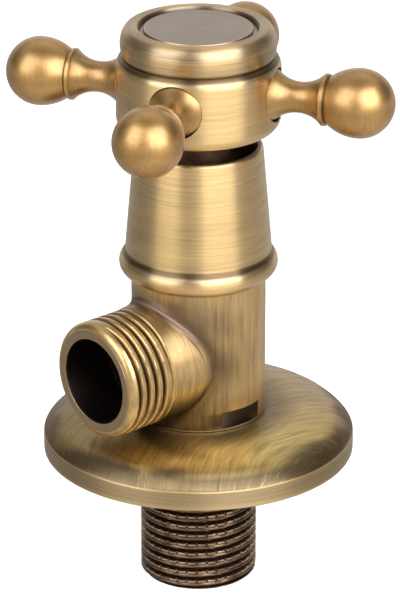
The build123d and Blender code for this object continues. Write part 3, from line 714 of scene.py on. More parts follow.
def flange_finish():
    """Return the flange's brass: arcs of fine brush marks on the dome, circles on the rim band, with painted light and
    shade: a lighter front, a greyish far side, a darker left side, shade where the dome turns down and round the body's
    foot, and a highlight line on the rim.
    """
    made, tree, shader = material("brushed brass of the flange")
    where, x, y, z = place(tree)
    radius, circles, parts = polar(tree, x, y, z)
    from_x = tree.math("SUBTRACT", x, SWIRL_CENTRE[0] * MM)
    from_y = tree.math("SUBTRACT", y, SWIRL_CENTRE[1] * MM)
    reach, arcs, arc_parts = polar(tree, from_x, from_y, 0.0)
    wander = noise(tree, where, (130, 130, 130), detail=3.0)
    across = tree.math("ADD", reach, tree.math("MULTIPLY", wander, 2.6 * MM))
    strokes = tree.add("ShaderNodeCombineXYZ", X=from_x, Y=from_y, Z=across)
    hair = noise(tree, strokes, (210, 210, 6500), detail=4.0, roughness=0.62)
    bold = noise(tree, strokes, (120, 120, 1300), detail=3.0)
    rim_fine = noise(tree, circles, (1.6, 1.6, 9000), detail=4.0, roughness=0.6)
    rim_bold = noise(tree, circles, (0.9, 0.9, 2600), detail=3.0)
    rim = tree.math("SUBTRACT", 1.0, beyond(tree, z, 3.45, 0.25))
    streak = weighed(tree, (mixed_value(tree, rim, hair, rim_fine), 0.55), (mixed_value(tree, rim, bold, rim_bold), 0.45))
    dark, mid, light = tones((0.60, 0.42, 0.145), 1.3)
    colour = ramp(tree, streak, (0.36, dark), (0.5, mid), (0.64, light))
    patch = soft_step(tree, noise(tree, where, (75, 75, 75), detail=4.0), 0.32, 0.66)
    # Painted shade where the dome turns down to the rim, lifted in a bright sector towards the camera and kept off the
    # rim band
    turn_dark = beyond(tree, weighed(tree, (radius, 1.0), (hair, 5.0 * MM), (patch, 2.8 * MM)), 29.0, 2.6)
    turning_shade = tree.math("MULTIPLY", turn_dark, 0.88)
    turning_shade = tree.math("MULTIPLY", turning_shade, mixed_value(tree, rim, 1.0, 0.0))
    # front and side run towards the camera and across its view; the marks that use them paint light and shade
    front = weighed(tree, (x, sin(CAMERA_AZIMUTH)), (y, -cos(CAMERA_AZIMUTH)))
    side = weighed(tree, (x, cos(CAMERA_AZIMUTH)), (y, sin(CAMERA_AZIMUTH)))
    bright = tree.math("MULTIPLY", within(tree, side, -2.5, 15.5, 6.0), soft_step(tree, front, 0.0, 10.0 * MM))
    bright = tree.math("MULTIPLY", bright, tree.math("SUBTRACT", 1.0, beyond(tree, radius, 25.7, 1.2)))
    turning_shade = tree.math("MULTIPLY", turning_shade, tree.math("SUBTRACT", 1.0, tree.math("MULTIPLY", bright, 0.88)))
    # Painted shade: the dome's left side, across the camera's view, is painted darker
    left = tree.math("MULTIPLY", tree.math("SUBTRACT", 1.0, soft_step(tree, side, -23.0 * MM, -9.0 * MM)), 0.5)
    left = tree.math("MULTIPLY", left, tree.math("SUBTRACT", 1.0, rim))
    # Painted highlight: the front of the dome, towards the camera, is painted lighter and golden
    front_highlight = tree.math("MULTIPLY", soft_step(tree, front, 5.0 * MM, 13.0 * MM), 0.82)
    colour = mixed(tree, front_highlight, colour, ramp(tree, streak, (0.36, (0.49, 0.34, 0.098)), (0.64, (1.0, 0.80, 0.34))))
    # Painted reflection: the dome's far side is painted a greyish taupe, in random patches
    dull = tree.math("SUBTRACT", 1.0, soft_step(tree, front, -8.0 * MM, 13.0 * MM))
    dull = tree.math("MULTIPLY", dull, mixed_value(tree, patch, 0.9, 0.65))
    colour = mixed(tree, dull, colour, ramp(tree, streak, (0.36, (0.18, 0.135, 0.105)), (0.64, (0.40, 0.305, 0.22))))
    colour = mixed(tree, left, colour, (0.11, 0.072, 0.04))
    colour = mixed(tree, turning_shade, colour, (0.14, 0.09, 0.05))
    colour = mixed(tree, tree.math("MULTIPLY", rim, 0.70), colour, (0.275, 0.192, 0.125))
    foot = tree.math("MULTIPLY", within(tree, z, -1.0, 0.75, 0.7), 0.6)
    colour = mixed(tree, foot, colour, (0.62, 0.45, 0.21))
    # Painted highlight: a pale line along the rim band's top edge
    edge = tree.math("MULTIPLY", within(tree, z, 3.25, 3.55, 0.2), 0.6)
    colour = mixed(tree, edge, colour, BARE_AND_HIGHLIGHT)
    # Painted shade round the body's foot: darkest at the hole, fading across the dome
    shade_at_hole = tree.math("MULTIPLY", tree.math("SUBTRACT", 1.0, beyond(tree, radius, 12.35, 0.7)), 0.9)
    shade_round_body = tree.math("MULTIPLY", tree.math("SUBTRACT", 1.0, beyond(tree, radius, 16.0, 7.0)), 0.72)
    for mask in (shade_at_hole, shade_round_body):
        colour = mixed(tree, mask, colour, FILM_AND_SHADE)
    scratches = tree.math("MULTIPLY", soft_step(tree, hair, 0.60, 0.72), tree.math("SUBTRACT", 1.0, rim))
    colour = mixed(tree, tree.math("MULTIPLY", scratches, 0.6), colour, BARE_AND_HIGHLIGHT)
    finished(tree, shader, colour, spread(tree, streak, 0.35, 0.65, 0.50, 0.38), hair, 0.14)
    tree.join(spread(tree, turning_shade, 0.0, 0.8, 0.6, 0.25), shader.inputs["Coat Weight"])
    away_y = tree.math("MULTIPLY", arc_parts["Y"], -1.0)
    on_dome = tree.add("ShaderNodeCombineXYZ", X=away_y, Y=arc_parts["X"])
    back_y = tree.math("MULTIPLY", parts["Y"], -1.0)
    around = tree.add("ShaderNodeCombineXYZ", X=back_y, Y=parts["X"])
    way = tree.add("ShaderNodeMix", {"data_type": "VECTOR"}, Factor=rim)
    tree.join(on_dome, way.inputs[4])
    tree.join(around, way.inputs[5])
    brush(tree, shader, way.outputs[1], 0.8)
    return made


def arm_finish():
    """Return the arms' satin brass, with faint turning marks round each arm's own axis."""
    made, tree, shader = material("satin brass of the arms")
    where, x, y, z = place(tree)
    own = tree.add("ShaderNodeAttribute", {"attribute_name": "arm_place"}).outputs["Vector"]
    parts = tree.add("ShaderNodeSeparateXYZ", Vector=own).outputs
    radius, circles, unit = polar(tree, parts["X"], parts["Y"], parts["Z"])
    marks = noise(tree, circles, (2.5, 2.5, 5200), detail=4.0, roughness=0.65)
    cloud = noise(tree, where, (150, 150, 150), detail=4.0)
    grain = noise(tree, where, (3400, 3400, 3400), detail=3.0)
    streak = weighed(tree, (marks, 0.5), (cloud, 0.42), (grain, 0.08))
    dark, mid, light = tones((0.50, 0.285, 0.083), 0.7)
    colour = ramp(tree, streak, (0.38, dark), (0.5, mid), (0.62, light))
    along = parts["Z"]
    # The groove is painted dark brown; the waist and the end inside the hub's seat are painted darker as painted shade
    groove = tree.math("MULTIPLY", within(tree, along, 22.98, 23.3, 0.15), 0.6)
    cove = tree.math("MULTIPLY", within(tree, along, 14.5, 21.9, 1.2), 0.12)
    seat = tree.math("MULTIPLY", tree.math("SUBTRACT", 1.0, beyond(tree, along, 13.3, 0.15)), 0.7)
    for mask in (groove, cove, seat):
        colour = mixed(tree, mask, colour, FILM_AND_SHADE)
    finished(tree, shader, colour, spread(tree, streak, 0.36, 0.64, 0.44, 0.37), marks, 0.03)
    return made


def thread_finish():
    """Return the outlet's brass: bright crests, darker brown in the thread's grooves and on the end face, and a bore
    painted near black as painted shade.
    """
    made, tree, shader = material("brass of the outlet thread")
    where, x, y, z = place(tree)
    from_axis = tree.math("SUBTRACT", z, OUTLET_Z * MM)
    radius, circles, parts = polar(tree, x, from_axis, y)
    fine = noise(tree, circles, (3.0, 3.0, 8000), detail=4.0, roughness=0.6)
    cloud = noise(tree, where, (420, 420, 420), detail=3.0)
    streak = weighed(tree, (fine, 0.5), (cloud, 0.5))
    dark, mid, light = tones((0.60, 0.40, 0.155), 1.1)
    colour = ramp(tree, streak, (0.36, dark), (0.5, mid), (0.64, light))
    in_cut = tree.math("SUBTRACT", 1.0, beyond(tree, radius, THREAD_R - 0.30, 0.5))
    behind_face = beyond(tree, y, OUTLET_FACE_Y + 1.6, 0.3)
    film_and_shade = tree.math("MULTIPLY", tree.math("MULTIPLY", in_cut, behind_face), 0.92)
    face = tree.math("SUBTRACT", 1.0, beyond(tree, radius, 9.0, 0.25))
    face = tree.math("MULTIPLY", face, mixed_value(tree, soft_step(tree, fine, 0.4, 0.6), 0.9, 0.65))
    ring = tree.math("MULTIPLY", within(tree, radius, 8.9, 9.12, 0.12), 0.35)
    # Painted shade: the bore is painted near black
    bore = tree.math("SUBTRACT", 1.0, beyond(tree, radius, 7.62, 0.12))
    colour = mixed(tree, face, colour, (0.36, 0.245, 0.15))
    colour = mixed(tree, film_and_shade, colour, (0.085, 0.043, 0.019))
    colour = mixed(tree, ring, colour, FILM_AND_SHADE)
    colour = mixed(tree, bore, colour, (0.045, 0.025, 0.015))
    finished(tree, shader, colour, spread(tree, streak, 0.35, 0.65, 0.42, 0.32), fine, 0.08)
    return made


def inlet_finish():
    """Return the inlet thread's dark bronze: painted highlights along the crests, pale and patchy with wear on the
    upper edges, coppery on the lower ones, and darker grooves.
    """
    made, tree, shader = material("dark bronze of the inlet thread")
    where, x, y, z = place(tree)
    radius, circles, parts = polar(tree, x, y, z)
    marked = tree.add("ShaderNodeAttribute", {"attribute_name": "thread_place"}).outputs["Vector"]
    thread = tree.add("ShaderNodeSeparateXYZ", Vector=marked).outputs
    fine = noise(tree, circles, (6.0, 6.0, 5200), detail=4.0, roughness=0.6)
    cloud = noise(tree, where, (260, 260, 260), detail=4.0)
    streak = weighed(tree, (fine, 0.5), (cloud, 0.5))
    colour = ramp(tree, streak, (0.36, (0.055, 0.029, 0.016)), (0.5, (0.10, 0.053, 0.029)), (0.64, (0.165, 0.088, 0.047)))
    worn = soft_step(tree, cloud, 0.30, 0.62)
    upper = weighed(tree, (thread["X"], 0.5), (thread["Y"], 0.866))
    lower = weighed(tree, (thread["X"], 0.5), (thread["Y"], -0.866))
    on_outside = beyond(tree, radius, THREAD_R - 0.5, 0.4)
    # Painted highlights along the crests: a coppery one on the lower edges, and a pale one on the upper edges, broken
    # by the notches and patchy with wear
    copper_highlight = tree.math("MULTIPLY", soft_step(tree, lower, 0.70, 0.92), tree.math("MULTIPLY", worn, on_outside))
    pale = tree.math("MULTIPLY", soft_step(tree, upper, 0.74, 0.92), tree.math("SUBTRACT", 1.0, thread["Z"]))
    pale = tree.math("MULTIPLY", pale, tree.math("MULTIPLY", on_outside, mixed_value(tree, worn, 0.25, 1.0)))
    colour = mixed(tree, tree.math("MULTIPLY", copper_highlight, 0.85), colour, (0.30, 0.165, 0.085))
    colour = mixed(tree, tree.math("MULTIPLY", pale, 0.85), colour, (0.62, 0.49, 0.33))
    in_cut = tree.math("SUBTRACT", 1.0, beyond(tree, radius, THREAD_R - 0.62, 0.4))
    colour = mixed(tree, tree.math("MULTIPLY", in_cut, 0.8), colour, (0.07, 0.036, 0.02))
    finished(tree, shader, colour, spread(tree, streak, 0.35, 0.65, 0.46, 0.30), cloud, 0.10, coat=0.5)
    return made


def plain_finish(name, dark, light, roughness, metallic=0.0, grain=900.0, bump=0.1):
    """Return a speckled finish for bores, milled faces and the pieces inside."""
    made, tree, shader = material(name)
    where = tree.add("ShaderNodeTexCoord").outputs["Object"]
    speck = noise(tree, where, (grain, grain, grain), detail=4.0)
    tree.join(ramp(tree, speck, (0.35, dark), (0.65, light)), shader.inputs["Base Color"])
    shader.inputs["Metallic"].default_value = metallic
    tree.join(spread(tree, speck, 0.3, 0.7, *roughness), shader.inputs["Roughness"])
    relief = tree.add("ShaderNodeBump", Height=speck, Strength=bump, Distance=0.05 * MM)
    tree.join(relief, shader.inputs["Normal"])
    return made


def flat_finish():
    """Return the wrench flats' milled brass, painted dark as a painted reflection, lighter towards -Y and with a
    painted highlight in its lower corner towards +Y.
    """
    made, tree, shader = material("milled brass of the wrench flats")
    where, x, y, z = place(tree)
    marks = noise(tree, where, (900, 900, 5200), detail=4.0)
    # Painted reflection: the flat is painted near black-brown for the dark surroundings it mirrors
    colour = ramp(tree, marks, (0.36, (0.056, 0.041, 0.031)), (0.64, (0.088, 0.064, 0.047)))
    end = tree.math("SUBTRACT", 1.0, beyond(tree, y, -2.9, 2.8))
    colour = mixed(tree, tree.math("MULTIPLY", end, 0.8), colour, (0.105, 0.074, 0.043))
    # Painted highlight in the flat's lower corner towards +Y
    corner = tree.math("MULTIPLY", beyond(tree, y, 2.6, 2.4), tree.math("SUBTRACT", 1.0, beyond(tree, z, 8.9, 1.4)))
    colour = mixed(tree, tree.math("MULTIPLY", corner, 0.7), colour, (0.30, 0.18, 0.09))
    finished(tree, shader, colour, spread(tree, marks, 0.35, 0.65, 0.42, 0.30), marks, 0.06, coat=0.4)
    return made


body_brass = body_finish()
# Bonnet: a painted shadow line where the bead meets the barrel, patina in the groove above the bead, and the lip and
# inner wall dark brown, patina on the lip and painted shade within
bonnet_brass = turned_finish(
    "brushed brass of the bonnet skirt", inside=10.95,
    film_and_shade=((BARREL_TOP_Z - 1, BARREL_TOP_Z + 0.5, 0.6, 0.7), (37.15, 38.15, 0.6, 0.85)),
)
# Hub: painted shade beneath the cap's foot and along the hub's lower edge above the gap
hub_brass = turned_finish(
    "brushed brass of the hub", film_and_shade=((CAP_FOOT_Z - 0.75, CAP_FOOT_Z + 3, 0.5, 0.85), (59, HUB_BOTTOM_Z + 0.25, 0.4, 0.6)),
)
# Cap: painted shade at its foot on the hub and on the mouth's inner wall round the index disc
cap_brass = turned_finish(
    "brushed brass of the cap ring", (0.465, 0.312, 0.122), film_and_shade=((CAP_FOOT_Z - 1, CAP_FOOT_Z + 0.45, 0.5, 0.8),),
    inside=10.43, contrast=1.6, roughness=(0.41, 0.51),
)
# Index disc: a painted highlight line round its edge; its taupe is part patina, part painted greyish reflection
index_brass = turned_finish("taupe brass of the index disc", TAUPE, anisotropy=0.5, contrast=0.75, highlight_ring=(9.22, 9.49))
flange_brass = flange_finish()
arm_brass = arm_finish()
thread_brass = thread_finish()
bronze = inlet_finish()
milled_brass = flat_finish()
# Painted shade: the bores and holes are painted near black
bore_shade = plain_finish("dark film in the bores", (0.03, 0.018, 0.012), (0.05, 0.03, 0.02), (0.5, 0.7), metallic=0.6)
# Partly painted shade: the headwork seen in the gap beneath the hub is kept dark brown
headwork_bronze = plain_finish("brown film on the headwork", (0.17, 0.095, 0.052), (0.29, 0.165, 0.095), (0.30, 0.42), 0.75, grain=350.0)
raw_brass = plain_finish("raw brass", (0.60, 0.42, 0.17), (0.72, 0.52, 0.24), (0.22, 0.32), metallic=1.0, grain=2500)
steel = plain_finish("stainless steel", (0.50, 0.49, 0.47), (0.60, 0.59, 0.57), (0.2, 0.3), metallic=1.0)
rubber = plain_finish("black rubber", (0.012, 0.012, 0.012), (0.03, 0.03, 0.03), (0.5, 0.65))
fibre = plain_finish("red-brown fibre", (0.16, 0.055, 0.03), (0.24, 0.09, 0.05), (0.6, 0.75))
ceramic = plain_finish("white ceramic", (0.74, 0.73, 0.70), (0.82, 0.81, 0.79), (0.12, 0.2))
slip_ring = plain_finish("ivory slip ring", (0.62, 0.57, 0.47), (0.70, 0.65, 0.55), (0.35, 0.45))

for node, finish in {
    "escutcheon_grip_ring": rubber, "cartridge_housing": headwork_bronze, "cartridge_gasket": fibre,
    "seat_seal": rubber, "fixed_disc": ceramic, "moving_disc": ceramic, "spindle": raw_brass,
    "spindle_o_rings": rubber, "thrust_washer": slip_ring, "retaining_clip": steel,
    "index_o_ring": rubber, "screw_washer": steel, "handle_screw": steel,
}.items():
    nodes[node].data.materials.clear()
    nodes[node].data.materials.append(finish)

turning = turning_tree()
threading = threading_tree()
arms_round = arms_tree()

# Pieces of the body


def barrel_and_branch():
    """Return the closed barrel with the outlet branch blended into it by a rolling ball."""
    around, rings, blend_steps, neck_rings = 192, 34, 12, 10
    bottom = FOOT_Z - 2 * BRANCH_FILLET
    half_width = pi * BARREL_R
    grow = OUTLET_NECK_R + BRANCH_FILLET
    reach = BARREL_R + BRANCH_FILLET
    verts, index = [], {}

    def vertex(x, y, z):
        verts.append((x * MM, y * MM, z * MM))
        return len(verts) - 1

    loops = []
    corner_angles = [atan2(half_width, BARREL_TOP_Z - OUTLET_Z), atan2(half_width, bottom - OUTLET_Z)]
    spread_angles = np.linspace(0, pi, around // 2 + 1)
    angles = sorted(set(spread_angles) | set(corner_angles))
    angles = angles + [2 * pi - a for a in reversed(angles[1:-1])]
    for angle in angles:
        cx, cz = grow * sin(angle), OUTLET_Z + grow * cos(angle)
        cy = -sqrt(reach**2 - cx**2)
        on_neck = Vector((-sin(angle), 0, -cos(angle)))
        on_barrel = Vector((-cx, -cy, 0)).normalized()
        between = acos(max(-1, min(1, on_neck.dot(on_barrel))))
        loop = []
        phi, z = atan2(cx, -cy), cz
        u, v = phi * BARREL_R, z - OUTLET_Z
        # Straight out in the unrolled barrel to its top, its foot or its back seam
        outward = (sin(angle), cos(angle))
        stretch = min(
            half_width / abs(outward[0]) if abs(outward[0]) > 1e-9 else 1e9,
            (BARREL_TOP_Z - OUTLET_Z) / outward[1] if outward[1] > 1e-9 else 1e9,
            (bottom - OUTLET_Z) / outward[1] if outward[1] < -1e-9 else 1e9,
        )
        far = (outward[0] * stretch, outward[1] * stretch)
        for ring in range(rings, 0, -1):
            t = (ring / rings) ** 1.25
            a, b = u + (far[0] - u) * t, v + (far[1] - v) * t
            loop.append(vertex(BARREL_R * sin(a / BARREL_R), -BARREL_R * cos(a / BARREL_R), OUTLET_Z + b))
        for step in range(blend_steps + 1):
            t = step / blend_steps
            way = (on_barrel * sin((1 - t) * between) + on_neck * sin(t * between)) / sin(between)
            loop.append(vertex(cx + BRANCH_FILLET * way.x, cy + BRANCH_FILLET * way.y, cz + BRANCH_FILLET * way.z))
        for step in range(1, neck_rings + 1):
            t = step / neck_rings
            y = cy + (OUTLET_THREAD_Y - cy) * t
            r = OUTLET_NECK_R + (THREAD_R - OUTLET_NECK_R) * t * t * (3 - 2 * t)
            loop.append(vertex(r * sin(angle), y, OUTLET_Z + r * cos(angle)))
        loops.append(loop)
    faces = []
    for here, there in zip(loops, loops[1:] + loops[:1]):
        faces += [(here[k], here[k + 1], there[k + 1], there[k]) for k in range(len(here) - 1)]
    mesh = bpy.data.meshes.new("barrel")
    mesh.from_pydata(verts, [], faces)
    work = bmesh.new()
    work.from_mesh(mesh)
    bmesh.ops.remove_doubles(work, verts=work.verts, dist=0.003 * MM)
    everything = work.verts[:] + work.edges[:] + work.faces[:]
    cut = bmesh.ops.bisect_plane(work, geom=everything, plane_co=(0, 0, FOOT_Z * MM), plane_no=(0, 0, -1),
                                 clear_outer=True, dist=1e-7)
    bmesh.ops.holes_fill(work, edges=[e for e in work.edges if e.is_boundary])
    work.to_mesh(mesh)
    work.free()
    mesh.materials.append(body_brass)
    return object_of("valve_body_shell", mesh)


def body():
    """Return the body's shell with its shank, neck, waterway and wrench flats."""
    shell = barrel_and_branch()
    core = made_by(turning, "core", [
        (0, SHANK_FOOT_Z), *rounded([(0, 0), (SHANK_R, SHANK_FOOT_Z, 0.1), (SHANK_R, FOOT_Z + 2)], closed=False)[1:],
        (9, FOOT_Z + 4), (9, BARREL_TOP_Z - 2), (NECK_R, BARREL_TOP_Z - 1), (NECK_R, NECK_TOP_Z), (0, NECK_TOP_Z),
    ], closed=False, Segments=128, Material=body_brass)
    cut_by(shell, core, "UNION")
    waterway = made_by(turning, "waterway", [
        (0, INLET_END_Z), (INLET_BORE_R, INLET_END_Z), (INLET_BORE_R, 5.0), (5.5, 5.0), (5.5, 11.5),
        (8.3, 11.5), (8.3, 28.0), (9.0, 28.0), (9.0, NECK_TOP_Z + 1), (0, NECK_TOP_Z + 1),
    ], closed=False, Segments=96, Material=bore_shade)
    cut_by(shell, waterway)
    outlet = bar("outlet bore", OUTLET_BORE_R, OUTLET_THREAD_Y - 2, 0, bore_shade, "Y")
    outlet.data.transform(Matrix.Translation((0, 0, OUTLET_Z * MM)))
    cut_by(shell, outlet)
    for side in (1, -1):
        near, far = sorted((side * FLAT_X, side * (BARREL_R + 3)))
        cut_by(shell, slab("flat", (near, -BARREL_R - 3, FOOT_Z + FLAT_LIP), (far, BARREL_R + 3, FLAT_TOP_Z), milled_brass))
    return crisp(shell)


def threaded_pipe(name, inside, face, bevel, length, finish, spacing, **cut):
    """Return a pipe from z = 0, its end face, up to its length, with a cut thread.

    inside holds the outline of the bore from the top down, face the points across the end and
    bevel those out to the thread's crest.
    """
    outline = rounded([*inside, *face, bevel[0]], closed=False)[:-1] + bevel
    outline += divided(bevel[-1], (THREAD_R, length), spacing) + [(THREAD_R, length)]
    values = {"Major radius": THREAD_R * MM, "Pitch": PITCH * MM, "Material": finish}
    return made_by(threading, name, outline, **values, **cut)


shell = body()
outlet_length = OUTLET_THREAD_Y - OUTLET_FACE_Y
outlet_bevel = [point for place in range(14) for point in divided(*arc((9.05, 0.08), (9.95, 0.5), (THREAD_R, 1.5), 14)[place:place + 2], 0.06)]
outlet_thread = threaded_pipe(
    "outlet_thread", [(OUTLET_BORE_R, outlet_length), (OUTLET_BORE_R, 2.5), (7.58, 0.5), (7.62, 0, 0.1)],
    [(8.95, 0, 0.03), (9.0, 0.1, 0.03)], outlet_bevel, outlet_length, thread_brass, 0.085,
    **{"Segments": 224, "Depth": 0.95 * MM, "Root width": 0.04, "Groove width": 0.60, "Start": 1.55 * MM,
       "First turn": 0.75, "Turns": 4.5, "Come in": 0.1, "Lift out": 0.6, "Dent": 0.0, "Notches": 1.0,
       "Notch depth": 0.0},
)
outlet_thread.data.transform(
    Matrix.Translation((0, OUTLET_FACE_Y * MM, OUTLET_Z * MM)) @ Matrix.Rotation(-pi / 2, 4, "X")
)
inlet_length = SHANK_FOOT_Z - INLET_END_Z
inlet_bevel = divided((9.75, 0.05), (THREAD_R, 0.6), 0.1) + [(THREAD_R, 0.6)]
inlet_thread = threaded_pipe(
    "inlet_thread", [(INLET_BORE_R, inlet_length), (INLET_BORE_R, 0.8, 0.1), (INLET_BORE_R + 0.8, 0, 0.12)],
    [], inlet_bevel, inlet_length, bronze, 0.1,
    **{"Segments": 360, "Depth": 0.85 * MM, "Root width": 0.10, "Groove width": 0.50, "Start": -1.0 * MM,
       "First turn": 0.0186, "Turns": 40.0, "Come in": 0.01, "Lift out": 0.01, "Dent": 0.12 * MM, "Notches": 36.0,
       "Notch depth": 0.30 * MM},
)
inlet_thread.data.transform(Matrix.Translation((0, 0, INLET_END_Z * MM)))

# Wall flange

dome = sweep((16.0, FLANGE_TOP_Z), (24.0, 6.46), (8.6, 0), (8.2, -2.9), 20)[:-1]
dome += sweep((24.0, 6.46), (27.0, 4.2), (3.6, -1.3), (2.4, -2.7), 12)[:-1]
dome += sweep((27.0, 4.2), (FLANGE_R, 3.1), (0.8, -0.9), (0, -1.25), 8)
flange_outline = [(10.6, FLANGE_TOP_Z - 0.15), (10.75, FLANGE_TOP_Z), (12.0, FLANGE_TOP_Z), *dome]
flange_outline += rounded([
    (FLANGE_R, 3.1), (FLANGE_R, 0, 0.25), (FLANGE_R - 1, 0, 0.1), (FLANGE_R - 1, 3.0), (25.9, 3.8),
    (23.4, 5.5), (16.0, 6.55), (12.8, 6.55), (12.8, 4.45, 0.1), (11.9, 4.45, 0.1), (11.9, 6.55), (10.6, 6.55),
], closed=False)[1:]
escutcheon = made_by(turning, "wall_flange", flange_outline, Segments=288, Material=flange_brass)

# Bonnet cover

bead_z = (BARREL_TOP_Z + 37.4) / 2
bonnet_outline = arc((12.3, BARREL_TOP_Z), (BEAD_R, bead_z), (13.1, 37.4), 22)
bonnet_outline += arc((13.1, 37.4), (12.86, 37.95), (12.78, 38.9), 8)[1:]
bonnet_outline += rounded([
    (12.78, 38.9), (11.25, SKIRT_TOP_Z - 0.35, 0.2), (10.9, SKIRT_TOP_Z, 0.2), (10.3, SKIRT_TOP_Z, 0.1),
    (11.3, 40.5), (10.9, 40.0), (10.9, BARREL_TOP_Z),
], closed=False)[1:]
bonnet = made_by(turning, "bonnet_skirt", bonnet_outline, Segments=224, Material=bonnet_brass)

# Handle

hub_outline = [(0, HUB_BOTTOM_Z), (11.6, HUB_BOTTOM_Z)]
hub_outline += sweep((12.05, HUB_BOTTOM_Z), (HUB_R, HUB_BOTTOM_Z + 2.2), (3.4, 0), (0, 3.4), 12)
hub_outline += [(HUB_R, HUB_BOTTOM_Z + 2.6), (HUB_R, 71.0)]
hub_outline += sweep((HUB_R, 71.5), (13.2, CAP_FOOT_Z), (0, 2.2), (-1.9, 0.9), 10)
hub_outline += [(10.9, CAP_FOOT_Z), (10.9, SPIGOT_TOP_Z), (7.5, SPIGOT_TOP_Z), (7.5, 71.0), (0, 71.0)]
hub = made_by(turning, "cross_hub", hub_outline, closed=False, Segments=224, Material=hub_brass)
cut_by(hub, bar("spline bore", 3.93, HUB_BOTTOM_Z - 1, 72, bore_shade))
for step in range(ARM_COUNT):
    turn = Matrix.Rotation(radians(ARM_FIRST_ANGLE) + 2 * pi / ARM_COUNT * step, 4, "Z")
    seat = bar("arm seat", 4.74, ARM_SEAT_X, HUB_R + 2, bore_shade, "X")
    stud = bar("stud hole", ARM_STUD_R, 8.4, ARM_SEAT_X + 0.5, bore_shade, "X")
    for cutter in (seat, stud):
        cutter.data.transform(Matrix.Translation((0, 0, ARM_Z * MM)) @ turn)
        cut_by(hub, cutter)
crisp(hub)

arm_outline = [(0, 8.4), (ARM_STUD_R, 8.4), (ARM_STUD_R, ARM_SEAT_X)]
arm_outline += rounded([
    (ARM_STUD_R, ARM_SEAT_X), (4.7, ARM_SEAT_X, 0.12), (4.7, ARM_SEAT_X + 0.95, 0.08), (4.45, ARM_SEAT_X + 1.15)
], closed=False)[1:-1]
arm_outline += arc((4.5, ARM_SEAT_X + 1.12), (2.7, 17.6), (4.36, 22.25), 26)[1:]
arm_outline += rounded([
    (4.36, 22.25), (4.52, 22.35, 0.1), (4.5, 22.95, 0.1), (4.2, 23.12, 0.05), (4.42, 23.25)
], closed=False)[1:-1]


def ball_side(x):
    """Return the ball's radius on its longer side, towards the hub."""
    return BALL_R - 8.7 + sqrt(8.7**2 - (BALL_X - x) ** 2)


arm_outline += arc((ball_side(23.25), 23.25), (ball_side(26.0), 26.0), (BALL_R, BALL_X), 16)
diagonal = BALL_R * sin(pi / 4)
arm_outline += arc((BALL_R, BALL_X), (diagonal, BALL_X + diagonal), (0, BALL_X + BALL_R), 22)[1:]
arms = made_by(arms_round, "cross_arms", arm_outline, closed=False, Segments=96, Count=ARM_COUNT,
               Height=ARM_Z * MM, Material=arm_brass, **{"First angle": radians(ARM_FIRST_ANGLE)})

cap_outline = arc((13.18, CAP_FOOT_Z + 0.15), (13.42, (CAP_FOOT_Z + 75.8) / 2), (CAP_R, 75.8), 8)
cap_outline += sweep((CAP_R, 75.8), (12.0, CAP_TOP_Z), (0, 3.4), (-2.6, 0), 16)[1:]
cap_outline += rounded([
    (12.0, CAP_TOP_Z), (10.5, CAP_TOP_Z, 0.12), (10.2, CAP_TOP_Z - 0.9), (10.2, 76.9), (8.6, 76.9), (8.6, SPIGOT_TOP_Z),
    (10.9, SPIGOT_TOP_Z), (10.9, CAP_FOOT_Z), (13.0, CAP_FOOT_Z),
], closed=False)[1:]
cap = made_by(turning, "cap_crown", cap_outline, Segments=224, Material=cap_brass)

index_outline = rounded([
    (0, INDEX_TOP_Z), (9.45, INDEX_TOP_Z, 0.26), (9.5, INDEX_TOP_Z - 0.6), (10.1, INDEX_TOP_Z - 0.62), (10.1, 76.9),
    (7.2, 76.9), (7.2, 75.1), (6.3, 75.1), (6.3, 73.7), (7.2, 73.7), (7.2, INDEX_FOOT_Z), (5.6, INDEX_FOOT_Z),
    (5.6, 76.9), (0, 76.9),
], closed=False)
index = made_by(turning, "index_plate", index_outline, closed=False, Segments=224, Material=index_brass)

for piece in (escutcheon, bonnet, arms, cap, index, outlet_thread, inlet_thread):
    crisp(piece)

# What each piece stands for, and what it rides on
for piece, body_name, slot, stands_for in (
    (shell, "valve", "brushed_brass", ["valve_body"]),
    (outlet_thread, "valve", "brushed_brass", ["valve_body"]),
    (inlet_thread, "valve", "raw_brass", ["valve_body"]),
    (bonnet, "valve", "brushed_brass", ["bonnet_cover"]),
    (escutcheon, "escutcheon", "brushed_brass", ["escutcheon"]),
    (hub, "handle", "brushed_brass", ["handle_hub"]),
    (arms, "handle", "satin_brass", [f"handle_arm_{n + 1}" for n in range(ARM_COUNT)]),
    (cap, "handle", "brushed_brass", ["cap_ring"]),
    (index, "handle", "index_brass", ["index_disc"]),
):
    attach(piece, body_name)
    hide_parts(*stands_for)

# Floor, camera and light

def toward(azimuth, elevation):
    """Return the direction to a light or camera, with azimuth 0 along -Y and 90 along +X."""
    flat = cos(elevation)
    return Vector((sin(azimuth) * flat, -cos(azimuth) * flat, sin(elevation)))


floor_mesh = bpy.data.meshes.new("floor")
half = 8.0
floor_mesh.from_pydata([(-half, -half, 0), (half, -half, 0), (half, half, 0), (-half, half, 0)], [], [(0, 1, 2, 3)])
floor_mesh.transform(Matrix.Translation((0, 0, INLET_END_Z * MM)))
floor = bpy.data.objects.new("floor", floor_mesh)
bpy.context.scene.collection.objects.link(floor)
floor_paint, floor_tree, floor_shader = material("pale floor")
floor_shader.inputs["Base Color"].default_value = (0.86, 0.86, 0.86, 1)
floor_shader.inputs["Roughness"].default_value = 0.9
floor_mesh.materials.append(floor_paint)
floor.visible_glossy = False

